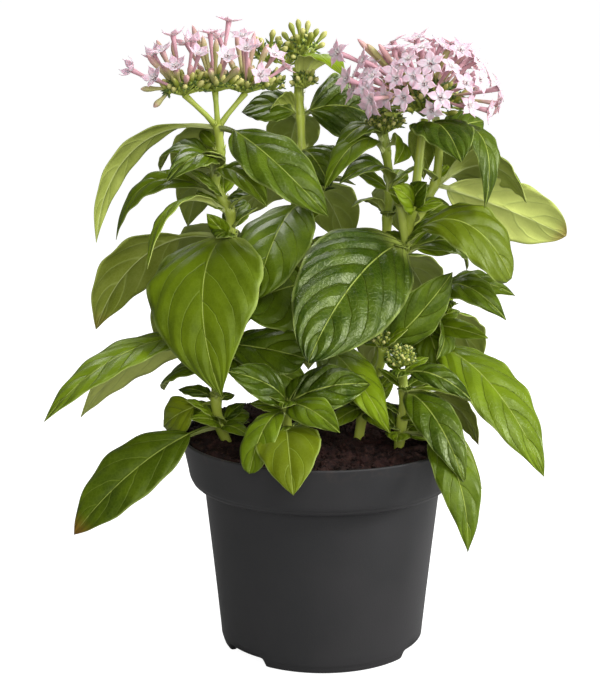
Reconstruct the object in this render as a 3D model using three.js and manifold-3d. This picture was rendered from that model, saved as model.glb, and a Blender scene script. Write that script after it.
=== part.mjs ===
// A pentas in flower, potted in a plain nursery pot.
// Millimetres, +Z up, the centre of the pot's foot at the origin, the viewer's side towards -Y.
import * as THREE from 'three';
import Module from 'manifold-3d';

const wasm = await Module();
wasm.setup();
const { Manifold, Mesh: Shell } = wasm;

// driving sizes
const potHeight = 100;
const rimRadius = 65;
const bandHeight = 23; // the thicker band round the rim
const bandShoulderRadius = 61.6; // where the band turns in towards the body
const bandFootRadius = 57.6;
const bodyTopRadius = 54.5;
const baseRadius = 47;
const potWall = 1.8;
const footHeight = 5;
const footCount = 3;
const footNotch = 30; // degrees of each notch between two feet
const footTurn = -51; // degrees from the front to the first notch
const drainCount = 6;
const drainReach = 30; // from the pot's middle to each drainage hole
const drainRadius = 4;
const clearance = 0.35; // left between pieces that rest in one another
const bladeThickness = 0.8;
const stemRadius = 2.2;
const rootDepth = 0.3; // how far past a stem's middle line a leaf is rooted

const colours = {
  pot: 0x3a3b3d,
  soil: 0x3b2a26,
  leaf: 0x4d7a26,
  leafPale: 0x7d9a3c,
  petal: 0xe3bcc6,
};

const up = new THREE.Vector3(0, 0, 1);
const vec = ([x, y, z]) => new THREE.Vector3(x, y, z);

// a small seeded generator, so that every run places the repeats alike
function randomFrom(seed) {
  let state = seed;
  return () => {
    state = (state * 16807) % 2147483647;
    return state / 2147483647;
  };
}

// ---- solids --------------------------------------------------------------------------------

// joins rings of equal point count into a closed tube, its far end drawn to a point where one is given
function loft(rings, point = null) {
  const count = rings[0].length;
  const points = rings.flat();
  const faces = [];
  for (let i = 0; i + 1 < rings.length; i++) {
    for (let j = 0; j < count; j++) {
      const a = i * count + j;
      const b = i * count + ((j + 1) % count);
      faces.push([a, b, b + count], [a, b + count, a + count]);
    }
  }
  const last = (rings.length - 1) * count;
  for (let j = 1; j + 1 < count; j++) {
    faces.push([0, j + 1, j]);
    if (!point) faces.push([last, last + j, last + j + 1]);
  }
  if (point) {
    points.push(point);
    for (let j = 0; j < count; j++) faces.push([points.length - 1, last + j, last + ((j + 1) % count)]);
  }
  return solid(points, faces);
}

function solid(points, faces) {
  return new Manifold(new Shell({
    numProp: 3,
    vertProperties: Float32Array.from(points.flatMap((p) => [p.x, p.y, p.z])),
    triVerts: Uint32Array.from(faces.flat()),
  }));
}

// points round a circle that faces along an axis
function ring(centre, axis, radius, count, phase = 0) {
  const side = new THREE.Vector3(0.37, 0.91, 0.2).cross(axis).normalize();
  const across = new THREE.Vector3().crossVectors(axis, side).normalize();
  return Array.from({ length: count }, (_, j) => {
    const angle = ((j + phase) / count) * 2 * Math.PI;
    return centre.clone().addScaledVector(side, radius * Math.cos(angle))
      .addScaledVector(across, radius * Math.sin(angle));
  });
}

// a round rod along a curve, its radius running from one end to the other
function rod(curve, radiusAt, steps, sides) {
  const rings = [];
  for (let i = 0; i <= steps; i++) {
    const t = i / steps;
    rings.push(ring(curve.getPoint(t), curve.getTangent(t), radiusAt(t), sides));
  }
  return loft(rings);
}

// a solid of revolution about Z from [radius, height] points that run round the section once
function turned(profile, sides) {
  const points = [];
  const faces = [];
  for (let j = 0; j < sides; j++) {
    const angle = (j / sides) * 2 * Math.PI;
    for (const [r, z] of profile) {
      points.push(new THREE.Vector3(r * Math.cos(angle), r * Math.sin(angle), z));
    }
  }
  const n = profile.length;
  for (let j = 0; j < sides; j++) {
    for (let i = 0; i < n; i++) {
      const a = j * n + i;
      const b = j * n + ((i + 1) % n);
      const c = ((j + 1) % sides) * n + i;
      const d = ((j + 1) % sides) * n + ((i + 1) % n);
      faces.push([a, c, d], [a, d, b]);
    }
  }
  return solid(points, faces);
}

function upright(x, y, z0, z1, radius, sides) {
  return loft([z0, z1].map((z) => ring(new THREE.Vector3(x, y, z), up, radius, sides)));
}

// ---- leaves --------------------------------------------------------------------------------

// how finely a leaf of a width is drawn: shares of its length, the tip apart, and of its half width
function fineness(width) {
  if (width > 36) return { stations: [0, 0.12, 0.3, 0.53, 0.78], across: [-1, -0.5, 0, 0.5, 1] };
  if (width > 24) return { stations: [0, 0.12, 0.3, 0.53, 0.78], across: [-1, 0, 1] };
  if (width > 14) return { stations: [0, 0.14, 0.42, 0.74], across: [-1, 0, 1] };
  return { stations: [0, 0.15, 0.45, 0.76], across: [-1, 1] };
}

// half the width of a blade at a share t of its length: a petiole, then an oval drawn to a point
function halfWidth(t, width, petiole, widest) {
  const s = Math.min(Math.max((t - petiole) / (1 - petiole), 0), 1);
  const rise = 1.15;
  const fall = (rise * (1 - widest)) / widest;
  const peak = (rise / (rise + fall)) ** rise * (fall / (rise + fall)) ** fall;
  const blade = (width / 2) * ((s ** rise * (1 - s) ** fall) / peak) ** 0.66;
  return Math.max(blade, 1);
}

// the blade's middle line springs from the stem, arches towards its facing side and ends at the tip,
// and its hinge is the direction that the blade spreads out along
function midrib(root, tip, arch, facing, bow) {
  const chord = tip.clone().sub(root);
  const along = chord.clone().normalize();
  const rise = vec(facing).addScaledVector(along, -vec(facing).dot(along)).normalize();
  const side = new THREE.Vector3().crossVectors(rise, along);
  const near = root.clone().addScaledVector(chord, 0.28)
    .addScaledVector(rise, 1.3 * arch).addScaledVector(side, 1.2 * bow);
  const far = root.clone().addScaledVector(chord, 0.74)
    .addScaledVector(rise, 0.95 * arch).addScaledVector(side, bow);
  return { line: new THREE.CubicBezierCurve3(root, near, far, tip), hinge: side };
}

function leaf(root, { tip, arch, width, facing, ...more }) {
  const { bow = 0, fold = 0.18, curl = 0.25, petiole = 0.1, widest = 0.42, twist = 0 } = more;
  const { line, hinge } = midrib(root, vec(tip), arch, facing, bow);
  const { stations, across } = fineness(width);
  const rings = [];
  for (const t of stations) {
    const point = line.getPoint(t);
    const along = line.getTangent(t);
    const turn = THREE.MathUtils.degToRad(twist) * t;
    const normal = along.clone().cross(hinge).normalize().applyAxisAngle(along, turn);
    const side = new THREE.Vector3().crossVectors(normal, along);
    const half = halfWidth(t, width, petiole, widest);
    const thick = THREE.MathUtils.lerp(0.85, bladeThickness / 2, Math.min(t / 0.2, 1));
    const place = (u, lift) => point.clone().addScaledVector(side, half * u)
      .addScaledVector(normal, half * (fold * Math.abs(u) - curl * u * u) + lift);
    rings.push([...across.map((u) => place(u, -thick)), ...across.toReversed().map((u) => place(u, thick))]);
  }
  return loft(rings, vec(tip));
}

// ---- florets -------------------------------------------------------------------------------

// a slender tube that opens into a five-pointed star facing along its direction
function floret(root, star, facing, radius, spin) {
  const side = new THREE.Vector3(0.37, 0.91, 0.2).cross(facing).normalize();
  const across = new THREE.Vector3().crossVectors(facing, side);
  const place = (centre, reach, turn, lift) => centre.clone()
    .addScaledVector(side, reach * Math.cos(spin + (turn * Math.PI) / 5))
    .addScaledVector(across, reach * Math.sin(spin + (turn * Math.PI) / 5))
    .addScaledVector(facing, lift);
  const points = [];
  for (let j = 0; j < 5; j++) points.push(place(root, 0.8, 2 * j, 0));
  for (let j = 0; j < 5; j++) points.push(place(star, 1.1, 2 * j, -1.6));
  for (const lift of [0, 0.7]) {
    for (let j = 0; j < 10; j++) {
      const reach = j % 2 ? radius : 0.42 * radius;
      points.push(place(star, reach, j, lift + 0.1 * reach));
    }
  }
  points.push(place(star, 0, 0, 0.5));
  const faces = [[0, 2, 1], [0, 3, 2], [0, 4, 3]];
  for (let j = 0; j < 5; j++) {
    const k = (j + 1) % 5;
    faces.push([j, k, 5 + k], [j, 5 + k, 5 + j]);
    faces.push([5 + j, 11 + 2 * j, 10 + 2 * j], [5 + j, 5 + k, 11 + 2 * j], [5 + k, 10 + 2 * k, 11 + 2 * j]);
  }
  for (let j = 0; j < 10; j++) {
    const k = (j + 1) % 10;
    faces.push([10 + j, 10 + k, 20 + k], [10 + j, 20 + k, 20 + j], [30, 20 + j, 20 + k]);
  }
  return solid(points, faces);
}

// a long bud, club-shaped and pointed
function bud(root, tip, thick) {
  const axis = tip.clone().sub(root).normalize();
  const at = (t, r) => ring(root.clone().lerp(tip, t), axis, r * thick, 4);
  return loft([at(0, 0.65), at(0.78, 1)], tip);
}

// unit directions spread evenly over a cap about +Z that reaches down to an angle in degrees
function capDirections(count, reach) {
  const lowest = Math.cos(THREE.MathUtils.degToRad(reach));
  return Array.from({ length: count }, (_, k) => {
    const z = 1 - ((k + 0.5) / count) * (1 - lowest);
    const turn = k * 2.39996;
    const r = Math.sqrt(1 - z * z);
    return new THREE.Vector3(r * Math.cos(turn), r * Math.sin(turn), z);
  });
}

// a round-topped core for a head or bunch to stand out of
function mound(centre, radii, sides = 10) {
  const levels = [[0, 0.8], [0.3, 1], [0.62, 0.85], [0.9, 0.5], [1, 0.15]];
  return loft(levels.map(([h, r]) => Array.from({ length: sides }, (_, j) => {
    const angle = (j / sides) * 2 * Math.PI;
    return new THREE.Vector3(
      centre.x + radii[0] * r * Math.cos(angle),
      centre.y + radii[1] * r * Math.sin(angle),
      centre.z + radii[2] * h,
    );
  })));
}

// a bunch of small green buds, each sunk into a stub at the middle of the bunch
function budCluster([x, y, z], radius, count, length, seed) {
  const random = randomFrom(seed);
  const centre = new THREE.Vector3(x, y, z);
  const foot = new THREE.Vector3(x, y, z - 3 - 0.2 * radius);
  const core = 0.5 * radius;
  const parts = [mound(foot, [core, core, 3 + core], 6)];
  for (const way of capDirections(count, 95)) {
    way.x += 0.3 * (random() - 0.5);
    way.y += 0.3 * (random() - 0.5);
    way.normalize();
    const tip = centre.clone().addScaledVector(way, radius + length * random());
    parts.push(bud(centre.clone().addScaledVector(way, 0.2 * radius), tip, 1.5));
  }
  return parts;
}

// ---- the plant -----------------------------------------------------------------------------

// each stem: the middle line from its root in the soil to its top
const stems = {
  left: [[-39, -8, 88], [-46, -12, 105], [-48, -14, 122], [-45, -12, 164], [-41, -14, 197],
    [-42, -15, 206], [-47, -16, 215], [-47, -16, 222], [-45, -16, 229], [-46, -16, 243]],
  rear: [[5, 20, 86], [0, 22, 125], [-5, 28, 157], [-8, 34, 189], [-10, 40, 241], [-12, 42, 264]],
  right: [[15, -4, 86], [20, -4, 118], [28, 2, 143], [35, 6, 170], [38, 8, 187]],
  rightInner: [[38, 8, 187], [40, 2, 202], [42, 0, 216], [44, 2, 235], [46, 4, 243]],
  rightOuter: [[38, 8, 187], [43, 12, 196], [49, 15, 208], [52, 16, 215], [53, 16, 230], [51, 12, 243]],
  rightShoot: [[21, -3, 123], [26, -10, 134], [27, -14, 143]],
  backRight: [[24, 22, 86], [28, 24, 143], [30, 22, 193], [31, 20, 207], [31, 18, 214], [29, 16, 227],
    [28, 15, 236]],
  frontRight: [[33, -18, 86], [36, -20, 114], [36, -20, 127], [35, -20, 134]],
  sideShoot: [[47, 20, 86], [48, 24, 119], [49, 24, 143], [53, 22, 156]],
  frontShoot: [[-16, -34, 86], [-16, -36, 115], [-16, -36, 123]],
};

// two short lengths left at the fork where stems were cut back
const stubRadius = 2;
const stubs = [[[38, 7, 186], [35, 0, 205]], [[38, 8, 186], [39, 6, 204]]];

// each leaf: the height where it leaves its stem, its tip, how far it arches, its width, the way
// its upper face looks, and what sets it apart
const L = (height, tip, arch, width, facing, more = {}) => ({ height, tip, arch, width, facing, ...more });

const leaves = {
  left: [
    L(242, [-100, -20, 191], 26, 14, [-0.2, 0.5, 0.8], { petiole: 0.15, twist: 25 }),
    L(242, [2, -58, 208], 15, 28, [0.45, -1, 0.7], { petiole: 0.22, fold: 0.25, bow: -6 }),
    L(221, [-24, -42, 210], 10, 16, [0.2, -0.8, 1], { fold: 0.45 }),
    L(220, [-67, -44, 221], 14, 16, [0, -0.7, 1]),
    L(225, [-74, 12, 219], 14, 14, [0, -0.6, 1]),
    L(231, [-55, 5, 238], 3, 6, [0, -1, 0.2]),
    L(209, [-93, -5, 190], 24, 18, [0, -0.35, 1], { petiole: 0.12, twist: -15 }),
    L(204, [-75, -52, 185], 20, 14, [-0.1, 0.2, 1], { twist: 15 }),
    L(193, [-104, 5, 147], 18, 32, [-0.4, 0.9, 0.7], { petiole: 0.28, bow: 8 }),
    L(193, [-51, -25, 205], 2, 8, [0, -1, 0]),
    L(195, [-43, -66, 132], 20, 52, [-0.3, -1, 0.35], { bow: -6, widest: 0.38, petiole: 0.04 }),
    L(144, [-118, -70, 123], 17, 22, [0, -0.25, 1], { petiole: 0.12, bow: -3 }),
    L(140, [-109, -20, 112], 19, 24, [-0.1, 0.9, 0.9], { petiole: 0.15 }),
    L(118, [-73, -6, 104], 8, 18, [0.2, -1, 0.7], { petiole: 0.3 }),
    L(107, [-110, -45, 65], 15, 29, [-0.1, -0.8, 1], { petiole: 0.2, widest: 0.45, fold: 0.3 }),
    L(105, [-59, -30, 114], 4, 9, [0, -1, 1]),
    L(105, [-33, -4, 110], 6, 11, [0, -1, 1]),
    L(105, [-32, -32, 106], 4, 8, [0.2, -1, 1]),
    L(131, [-74, 15, 116], 10, 20, [0, -0.6, 1]),
    L(144, [-15, -32, 145], 4, 18, [0, -1, 0.8], { widest: 0.6 }),
    L(138, [-5, -24, 125], 10, 22, [0.1, -1, 0.8]),
    L(242, [-66, 32, 206], 12, 22, [-0.2, 0.8, 0.8]),
    L(222, [-64, 50, 188], 12, 22, [-0.1, 0.8, 0.8]),
    L(195, [-66, 52, 158], 14, 28, [-0.1, 1, 0.6]),
    L(165, [-80, 46, 134], 14, 28, [-0.4, 1, 0.7]),
    L(140, [-56, 58, 112], 14, 24, [0, 1, 0.7]),
  ],
  rear: [
    L(251, [11, 20, 260], 18, 22, [-0.3, 0.4, 0.8]),
    L(243, [-24, 30, 246], 6, 16, [0, 1, 0.5]),
    L(242, [25, 50, 239], 12, 38, [0.1, -1, 0.8], { widest: 0.5 }),
    L(241, [-38, 45, 243], 8, 22, [0, -0.8, 1]),
    L(201, [-30, -28, 167], 12, 34, [-0.3, -1, 0.6], { widest: 0.5 }),
    L(163, [-38, -30, 164], 8, 40, [-0.1, -1, 0.35], { widest: 0.5 }),
    L(191, [16, 28, 211], 14, 16, [0, 0.1, 1], { fold: 0.6 }),
    L(209, [-34, 12, 222], 8, 24, [-0.2, -1, 0.6]),
    L(226, [4, 22, 210], 8, 24, [0.1, -1, 0.6]),
    L(176, [16, 40, 142], 8, 26, [0.3, -1, 0.5]),
    L(133, [29, -44, 111], 16, 22, [0.3, -1, 0.7], { bow: -3 }),
    L(241, [-18, 84, 206], 14, 26, [0, 1, 0.7]),
    L(209, [14, 84, 172], 14, 30, [0.2, 1, 0.6]),
    L(209, [-46, 78, 184], 12, 26, [-0.4, 1, 0.7]),
    L(180, [-34, 82, 138], 14, 34, [-0.2, 1, 0.5]),
    L(150, [-6, 84, 110], 14, 30, [0, 1, 0.6]),
  ],
  right: [
    L(187, [-7, -70, 148], 9, 48, [0.2, -1, 0.5], { widest: 0.46, petiole: 0.03, bow: -8 }),
    L(187, [85, -8, 173], 28, 32, [0.3, -0.7, 0.8], { widest: 0.6, petiole: 0.12 }),
    L(185, [66, 28, 184], 4, 14, [0, -1, 0.5]),
    L(182, [68, 26, 171], 16, 17, [0, -0.7, 1]),
    L(112, [1, -24, 107], 5, 9, [0, -1, 1]),
    L(109, [30, -32, 108], 4, 9, [0.2, -1, 1]),
  ],
  rightInner: [
    L(205, [46, -10, 217], 3, 12, [-0.3, -1, 0.5]),
    L(202, [30, -18, 216], 5, 13, [0.3, -1, 0.5]),
    L(239, [59, -34, 228], 10, 28, [0, -0.15, 1], { petiole: 0.04 }),
    L(241, [47, 28, 213], 10, 14, [0, 1, 0.3]),
  ],
  rightOuter: [
    L(194, [59, 30, 202], 6, 15, [0, -1, 0.5]),
    L(213, [116, 40, 185], 4, 31, [-0.1, 1, 0.5], { widest: 0.5 }),
    L(213, [92, 0, 206], 20, 26, [0, 1, 1], { petiole: 0.08 }),
    L(237, [71, -18, 206], 22, 17, [0.6, -0.6, 0.7], { petiole: 0.05 }),
    L(234, [75, 33, 240], 4, 17, [0, -1, 0.6]),
    L(236, [66, 56, 208], 12, 24, [0.3, 1, 0.7]),
  ],
  rightShoot: [L(142, [58, -12, 177], 6, 21, [0.4, -1, 0.2], { petiole: 0.05 })],
  backRight: [
    L(231, [4, -4, 227], 14, 13, [-0.3, -0.6, 1]),
    L(227, [0, -12, 213], 18, 15, [-0.2, -0.7, 1]),
    L(230, [31, -16, 225], 10, 12, [0.5, -1, 0.2]),
    L(208, [7, -2, 215], 14, 15, [0, -0.5, 1], { fold: 0.5 }),
    L(196, [13, 10, 203], 8, 10, [0, 0.3, 1]),
    L(208, [42, 78, 178], 12, 26, [0.2, 1, 0.6]),
    L(176, [56, 80, 140], 14, 30, [0.3, 1, 0.6]),
    L(140, [26, 76, 112], 12, 24, [0, 1, 0.7]),
    L(162, [43, 34, 124], 6, 20, [0.2, -1, 0.5]),
  ],
  frontRight: [
    L(124, [61, -58, 92], 14, 20, [0.25, -1, 0.7], { petiole: 0.05 }),
    L(105, [62, -66, 64], 23, 20, [0.35, -1, 0.7], { petiole: 0.25, bow: 5 }),
    L(112, [70, -42, 85], 18, 12, [0.3, -1, 0.7]),
    L(124, [77, -12, 110], 9, 8, [0, -0.3, 1]),
    L(132, [66, -30, 122], 12, 12, [0.1, -1, 0.9]),
    L(103, [60, -10, 104], 4, 12, [0, -1, 1]),
  ],
  sideShoot: [
    L(114, [73, 5, 92], 10, 15, [0.2, 1, 0.6]),
    L(136, [99, -30, 87], 20, 34, [0.7, -1, 0.7], { bow: -3 }),
    L(147, [52, -2, 134], 8, 14, [0.9, -1, 0.1], { fold: 0.5 }),
    L(143, [55, 8, 124], 8, 18, [0.1, -1, 0.2]),
    L(145, [76, 0, 144], 5, 10, [0, -1, 0.6]),
    L(147, [70, 50, 134], 10, 14, [0, 1, 0.4]),
    L(155, [89, 10, 162], 14, 18, [0, -0.6, 1]),
    L(155, [83, -8, 154], 18, 20, [0, -0.6, 1]),
    L(150, [76, 58, 114], 14, 26, [0.4, 0.8, 0.7]),
    L(125, [62, 72, 100], 12, 20, [0.2, 1, 0.8]),
  ],
  frontShoot: [
    L(122, [-42, -52, 141], 8, 18, [0, -1, 0.9]),
    L(122, [21, -35, 131], 10, 22, [0, -1, 0.8]),
    L(121, [7, -62, 116], 8, 17, [0.2, -1, 0.8]),
    L(118, [-32, -66, 99], 12, 15, [-0.4, -1, 0.6], { widest: 0.6 }),
    L(110, [-13, -84, 95], 12, 28, [0, -1, 0.4], { widest: 0.34, petiole: 0.02 }),
  ],
};

function stemCurve(name) {
  return new THREE.CatmullRomCurve3(stems[name].map(vec), false, 'catmullrom', 0.5);
}

// how many straight lengths a stem is drawn in
function lengthsOf(curve) {
  return Math.max(3, Math.round(curve.getLength() / 18));
}

// the point at a height on the middle line of a stem as it is drawn
function onStem(curve, height) {
  const joints = curve.getPoints(lengthsOf(curve));
  const k = Math.max(1, joints.findIndex((joint) => joint.z >= height));
  const [below, above] = [joints[k - 1], joints[k]];
  return below.clone().lerp(above, (height - below.z) / (above.z - below.z));
}

function branch(name) {
  const curve = stemCurve(name);
  const thin = (t) => stemRadius - 0.5 * t;
  const parts = [rod(curve, thin, lengthsOf(curve), 5)];
  for (const one of leaves[name]) {
    const root = onStem(curve, one.height);
    const away = vec(one.tip).sub(root).normalize();
    parts.push(leaf(root.addScaledVector(away, -rootDepth), one));
  }
  return parts;
}

// ---- flower heads --------------------------------------------------------------------------

const leftNode = new THREE.Vector3(-46, -16, 242);
// the top of each ray of the left head
const rayTops = [[-60, -22, 256], [-47, -17, 257], [-34, -11, 256]];
const leftStars = [
  [-82, -28, 267], [-65, -15, 281], [-69, -25, 275], [-63, -33, 269], [-53, -31, 274], [-49, -15, 282],
  [-41, -11, 287], [-35, -19, 281], [-41, -33, 273], [-27, -31, 265], [-21, -20, 273], [-74, -8, 272],
  [-60, -1, 277], [-46, 3, 279], [-31, 3, 275], [-17, -6, 267],
];
const leftBuds = [[-76, -20, 273], [-57, -8, 285], [-30, -9, 282], [-72, -16, 279], [-52, -22, 281]];

// the dome of the right head; its front stars are placed singly and the others by rule between them
const dome = { centre: [45, 4, 249], radii: [34, 29, 30], stars: 26, apart: 11 };
const rightStars = [
  [20, -26, 254], [34, -28, 255], [43, -28, 261], [50, -27, 255], [31, -23, 263], [21, -20, 264],
  [46, -20, 269], [55, -18, 268], [61, -22, 261], [68, -17, 262], [77, -9, 258], [41, 0, 279],
  [31, -6, 275], [17, -11, 270], [10, -10, 262], [6, -6, 273], [68, -4, 270],
];

// one ray of the left head, ending in a saucer of green buds that point out below the florets
function rayAndBuds(top, seed) {
  const random = randomFrom(seed);
  const end = vec(top);
  const neck = end.clone().addScaledVector(up, -1);
  const parts = [rod(new THREE.LineCurve3(leftNode, neck), () => 1.3, 1, 6)];
  parts.push(mound(end.clone().addScaledVector(up, -3), [3.4, 3.4, 3], 7));
  for (let k = 0; k < 6; k++) {
    const turn = (k / 6) * 2 * Math.PI + 0.4 * random();
    const way = new THREE.Vector3(Math.cos(turn), Math.sin(turn), -0.1 - 0.5 * random()).normalize();
    const from = end.clone().addScaledVector(up, -1.8).addScaledVector(way, 1.5);
    parts.push(bud(from, from.clone().addScaledVector(way, 7 + 3 * random()), 1.5));
  }
  return parts;
}

// the florets and long buds of the left head, fanned out of the tops of its rays
function leftHead(seed) {
  const random = randomFrom(seed);
  const ends = rayTops.map((top) => vec(top).addScaledVector(up, clearance));
  const parts = ends.map((end) => mound(end, [8.6, 7.6, 4], 8));
  const rooted = (spot) => {
    const end = ends.reduce((best, one) => (one.distanceTo(spot) < best.distanceTo(spot) ? one : best));
    const lean = spot.clone().sub(end).normalize();
    return end.clone().add(new THREE.Vector3(5 * lean.x, 4.5 * lean.y, 1.8));
  };
  for (const spot of leftStars.map(vec)) {
    const root = rooted(spot);
    parts.push(floret(root, spot, spot.clone().sub(root).normalize(), 6.4, 6 * random()));
  }
  for (const spot of leftBuds.map(vec)) parts.push(bud(rooted(spot), spot, 1.6));
  return parts;
}

function rightHead(seed) {
  const random = randomFrom(seed);
  const middle = vec(dome.centre);
  const radii = vec(dome.radii);
  const spots = rightStars.map(vec);
  for (const way of capDirections(dome.stars, 92)) {
    const spot = middle.clone().add(way.clone().multiply(radii)).addScaledVector(up, 2);
    if (spots.every((other) => other.distanceTo(spot) > dome.apart)) spots.push(spot);
  }
  const parts = [mound(middle.clone().addScaledVector(up, 0.5), [17, 15, 15], 9)];
  for (const spot of spots) {
    const way = spot.clone().sub(middle).divide(radii).normalize();
    const root = middle.clone().add(new THREE.Vector3(8 * way.x, 7 * way.y, 4 + 5 * way.z));
    const facing = spot.clone().sub(root).normalize().lerp(way, 0.4).normalize();
    parts.push(floret(root, spot, facing, 6.8, 6 * random()));
  }
  return parts;
}

// ---- pot and soil --------------------------------------------------------------------------

function potSolid() {
  const bandFoot = potHeight - bandHeight;
  const floorTop = footHeight + potWall;
  const inner = (r) => r - potWall;
  const profile = [
    [0.01, footHeight], [baseRadius - 5, footHeight], [baseRadius - 4.5, 0], [baseRadius - 1.8, 0],
    [baseRadius, 2.4], [bodyTopRadius, bandFoot], [bandFootRadius, bandFoot],
    [bandShoulderRadius - 0.9, bandFoot + 2.6], [bandShoulderRadius, bandFoot + 6],
    [rimRadius, potHeight - 1], [rimRadius - 0.6, potHeight], [inner(rimRadius), potHeight],
    [inner(bandShoulderRadius), bandFoot + 6], [inner(bodyTopRadius), bandFoot],
    [inner(baseRadius) + 0.4, floorTop], [0.01, floorTop],
  ];
  let pot = turned(profile, 36);
  const pitch = 360 / footCount;
  for (let k = 0; k < footCount; k++) {
    const angle = THREE.MathUtils.degToRad(-90 + footTurn + pitch * k);
    const reach = baseRadius - 2;
    const half = baseRadius * Math.sin(THREE.MathUtils.degToRad(footNotch / 2));
    pot = pot.subtract(wedge(angle, reach, half, footHeight - 0.6));
  }
  for (let k = 0; k < drainCount; k++) {
    const turn = (k / drainCount) * 2 * Math.PI;
    const [x, y] = [drainReach * Math.cos(turn), drainReach * Math.sin(turn)];
    pot = pot.subtract(upright(x, y, -1, 20, drainRadius, 8));
  }
  return pot;
}

// the space of one notch in the foot: wide at the floor and sloping in at both ends
function wedge(angle, reach, half, height) {
  const out = new THREE.Vector3(Math.cos(angle), Math.sin(angle), 0);
  const side = new THREE.Vector3(-out.y, out.x, 0);
  const top = half - 0.7 * height;
  const section = (r) => [[-half, -1], [half, -1], [top, height], [-top, height]]
    .map(([s, z]) => out.clone().multiplyScalar(r).addScaledVector(side, s).setZ(z));
  return loft([section(reach - 6), section(reach + 6)]);
}

// the soil's height above the foot at a place
function soilTop(x, y) {
  const heap = 5 * Math.exp(-((x + 34) ** 2 + (y - 22) ** 2) / 900);
  const lumps = 0.8 * Math.sin(0.31 * x + 1) * Math.cos(0.27 * y) + 0.6 * Math.sin(0.013 * x * y + 0.2 * y);
  return 98.2 + heap + lumps;
}

function soilSolid() {
  const sides = 26;
  const bottom = footHeight + potWall + clearance;
  const bandFoot = potHeight - bandHeight;
  const circle = (radius, height) => Array.from({ length: sides }, (_, j) => {
    const angle = (j / sides) * 2 * Math.PI;
    const x = radius * Math.cos(angle);
    const y = radius * Math.sin(angle);
    return new THREE.Vector3(x, y, height ?? soilTop(x, y));
  });
  const wall = potWall + clearance;
  let soil = loft([
    circle(baseRadius - wall + 0.3, bottom), circle(bodyTopRadius - wall - 0.1, bandFoot + 0.4),
    circle(bandShoulderRadius - wall - 0.1, bandFoot + 6.2), circle(rimRadius - wall - 0.7, 97),
    circle(61.4), circle(42), circle(20),
  ]);
  for (const name of rooted) {
    const curve = stemCurve(name);
    const foot = stems[name][0];
    const aim = curve.getTangent(0);
    const start = vec(foot).addScaledVector(aim, -clearance);
    const reach = onStem(curve, 106);
    soil = soil.subtract(loft([start, reach].map((p) => ring(p, aim, stemRadius + 0.6, 7))));
  }
  return soil;
}

// ---- the scene graph -----------------------------------------------------------------------

const rooted = ['left', 'rear', 'right', 'backRight', 'frontRight', 'sideShoot', 'frontShoot'];

function node(name, parts, colour, roughness) {
  const whole = (Array.isArray(parts) ? Manifold.union(parts) : parts).simplify(0.05);
  const bodies = whole.decompose();
  const body = bodies.reduce((best, one) => (one.volume() > best.volume() ? one : best));
  const { vertProperties, triVerts } = body.getMesh();
  const geometry = new THREE.BufferGeometry();
  geometry.setAttribute('position', new THREE.BufferAttribute(Float32Array.from(vertProperties), 3));
  geometry.setIndex(new THREE.BufferAttribute(Uint32Array.from(triVerts), 1));
  geometry.computeVertexNormals();
  const mesh = new THREE.Mesh(geometry, new THREE.MeshStandardMaterial({ color: colour, roughness }));
  mesh.name = name;
  return mesh;
}

const leafy = (name, parts, colour = colours.leaf) => node(name, parts, colour, 0.45);

const plant = new THREE.Group();
plant.name = 'pentas';

plant.add(
  node('pot', potSolid(), colours.pot, 0.6),
  node('soil', soilSolid(), colours.soil, 1),
  leafy('stem-left', [...branch('left'), ...rayTops.flatMap((top, k) => rayAndBuds(top, 41 + k))]),
  leafy('stem-rear', [...branch('rear'), ...budCluster([-12, 42, 268], 12, 13, 9, 11)]),
  leafy('stem-right', [
    ...branch('right'), ...branch('rightInner'), ...branch('rightOuter'), ...branch('rightShoot'),
    ...budCluster([26, -15, 145], 4, 6, 3, 12),
    mound(new THREE.Vector3(47, 6, 240), [10, 8, 9], 8),
    ...stubs.map(([foot, top]) => rod(new THREE.LineCurve3(vec(foot), vec(top)), () => stubRadius, 1, 5)),
  ]),
  leafy('stem-back-right', [...branch('backRight'), ...budCluster([28, 15, 239], 5.5, 9, 4, 13)]),
  leafy('stem-front-right', [...branch('frontRight'), ...budCluster([35, -20, 136], 5.5, 9, 3, 14)]),
  leafy('shoot-right', [...branch('sideShoot'), ...budCluster([53, 22, 158], 3, 5, 3, 15)]),
  leafy('shoot-front', branch('frontShoot'), colours.leafPale),
  node('florets-left', leftHead(21), colours.petal, 0.6),
  node('florets-right', rightHead(31), colours.petal, 0.6),
);

export default plant;
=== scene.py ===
# A flowering pentas in its nursery pot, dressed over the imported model.
import math
import random

import bmesh
import bpy
from mathutils import Matrix, Vector


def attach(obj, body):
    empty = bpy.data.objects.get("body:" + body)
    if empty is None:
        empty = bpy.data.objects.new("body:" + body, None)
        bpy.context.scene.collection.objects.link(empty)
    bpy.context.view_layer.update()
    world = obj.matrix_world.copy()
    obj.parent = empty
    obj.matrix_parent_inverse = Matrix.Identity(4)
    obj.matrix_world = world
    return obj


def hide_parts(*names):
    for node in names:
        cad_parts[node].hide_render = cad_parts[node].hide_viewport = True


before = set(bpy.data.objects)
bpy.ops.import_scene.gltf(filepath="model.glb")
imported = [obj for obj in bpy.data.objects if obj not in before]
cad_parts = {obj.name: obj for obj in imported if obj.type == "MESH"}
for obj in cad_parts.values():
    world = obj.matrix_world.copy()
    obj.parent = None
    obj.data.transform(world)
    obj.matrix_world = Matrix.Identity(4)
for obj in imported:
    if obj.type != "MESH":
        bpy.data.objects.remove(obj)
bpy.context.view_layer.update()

mm = 0.001
up = Vector((0, 0, 1))
goldenAngle = 2.39996


# small tools

def vec(x, y, z):
    return Vector((x, y, z)) * mm


def lerp(a, b, t):
    return a + (b - a) * t


def smooth(low, high, x):
    t = min(max((x - low) / (high - low), 0), 1)
    return t * t * (3 - 2 * t)


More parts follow.
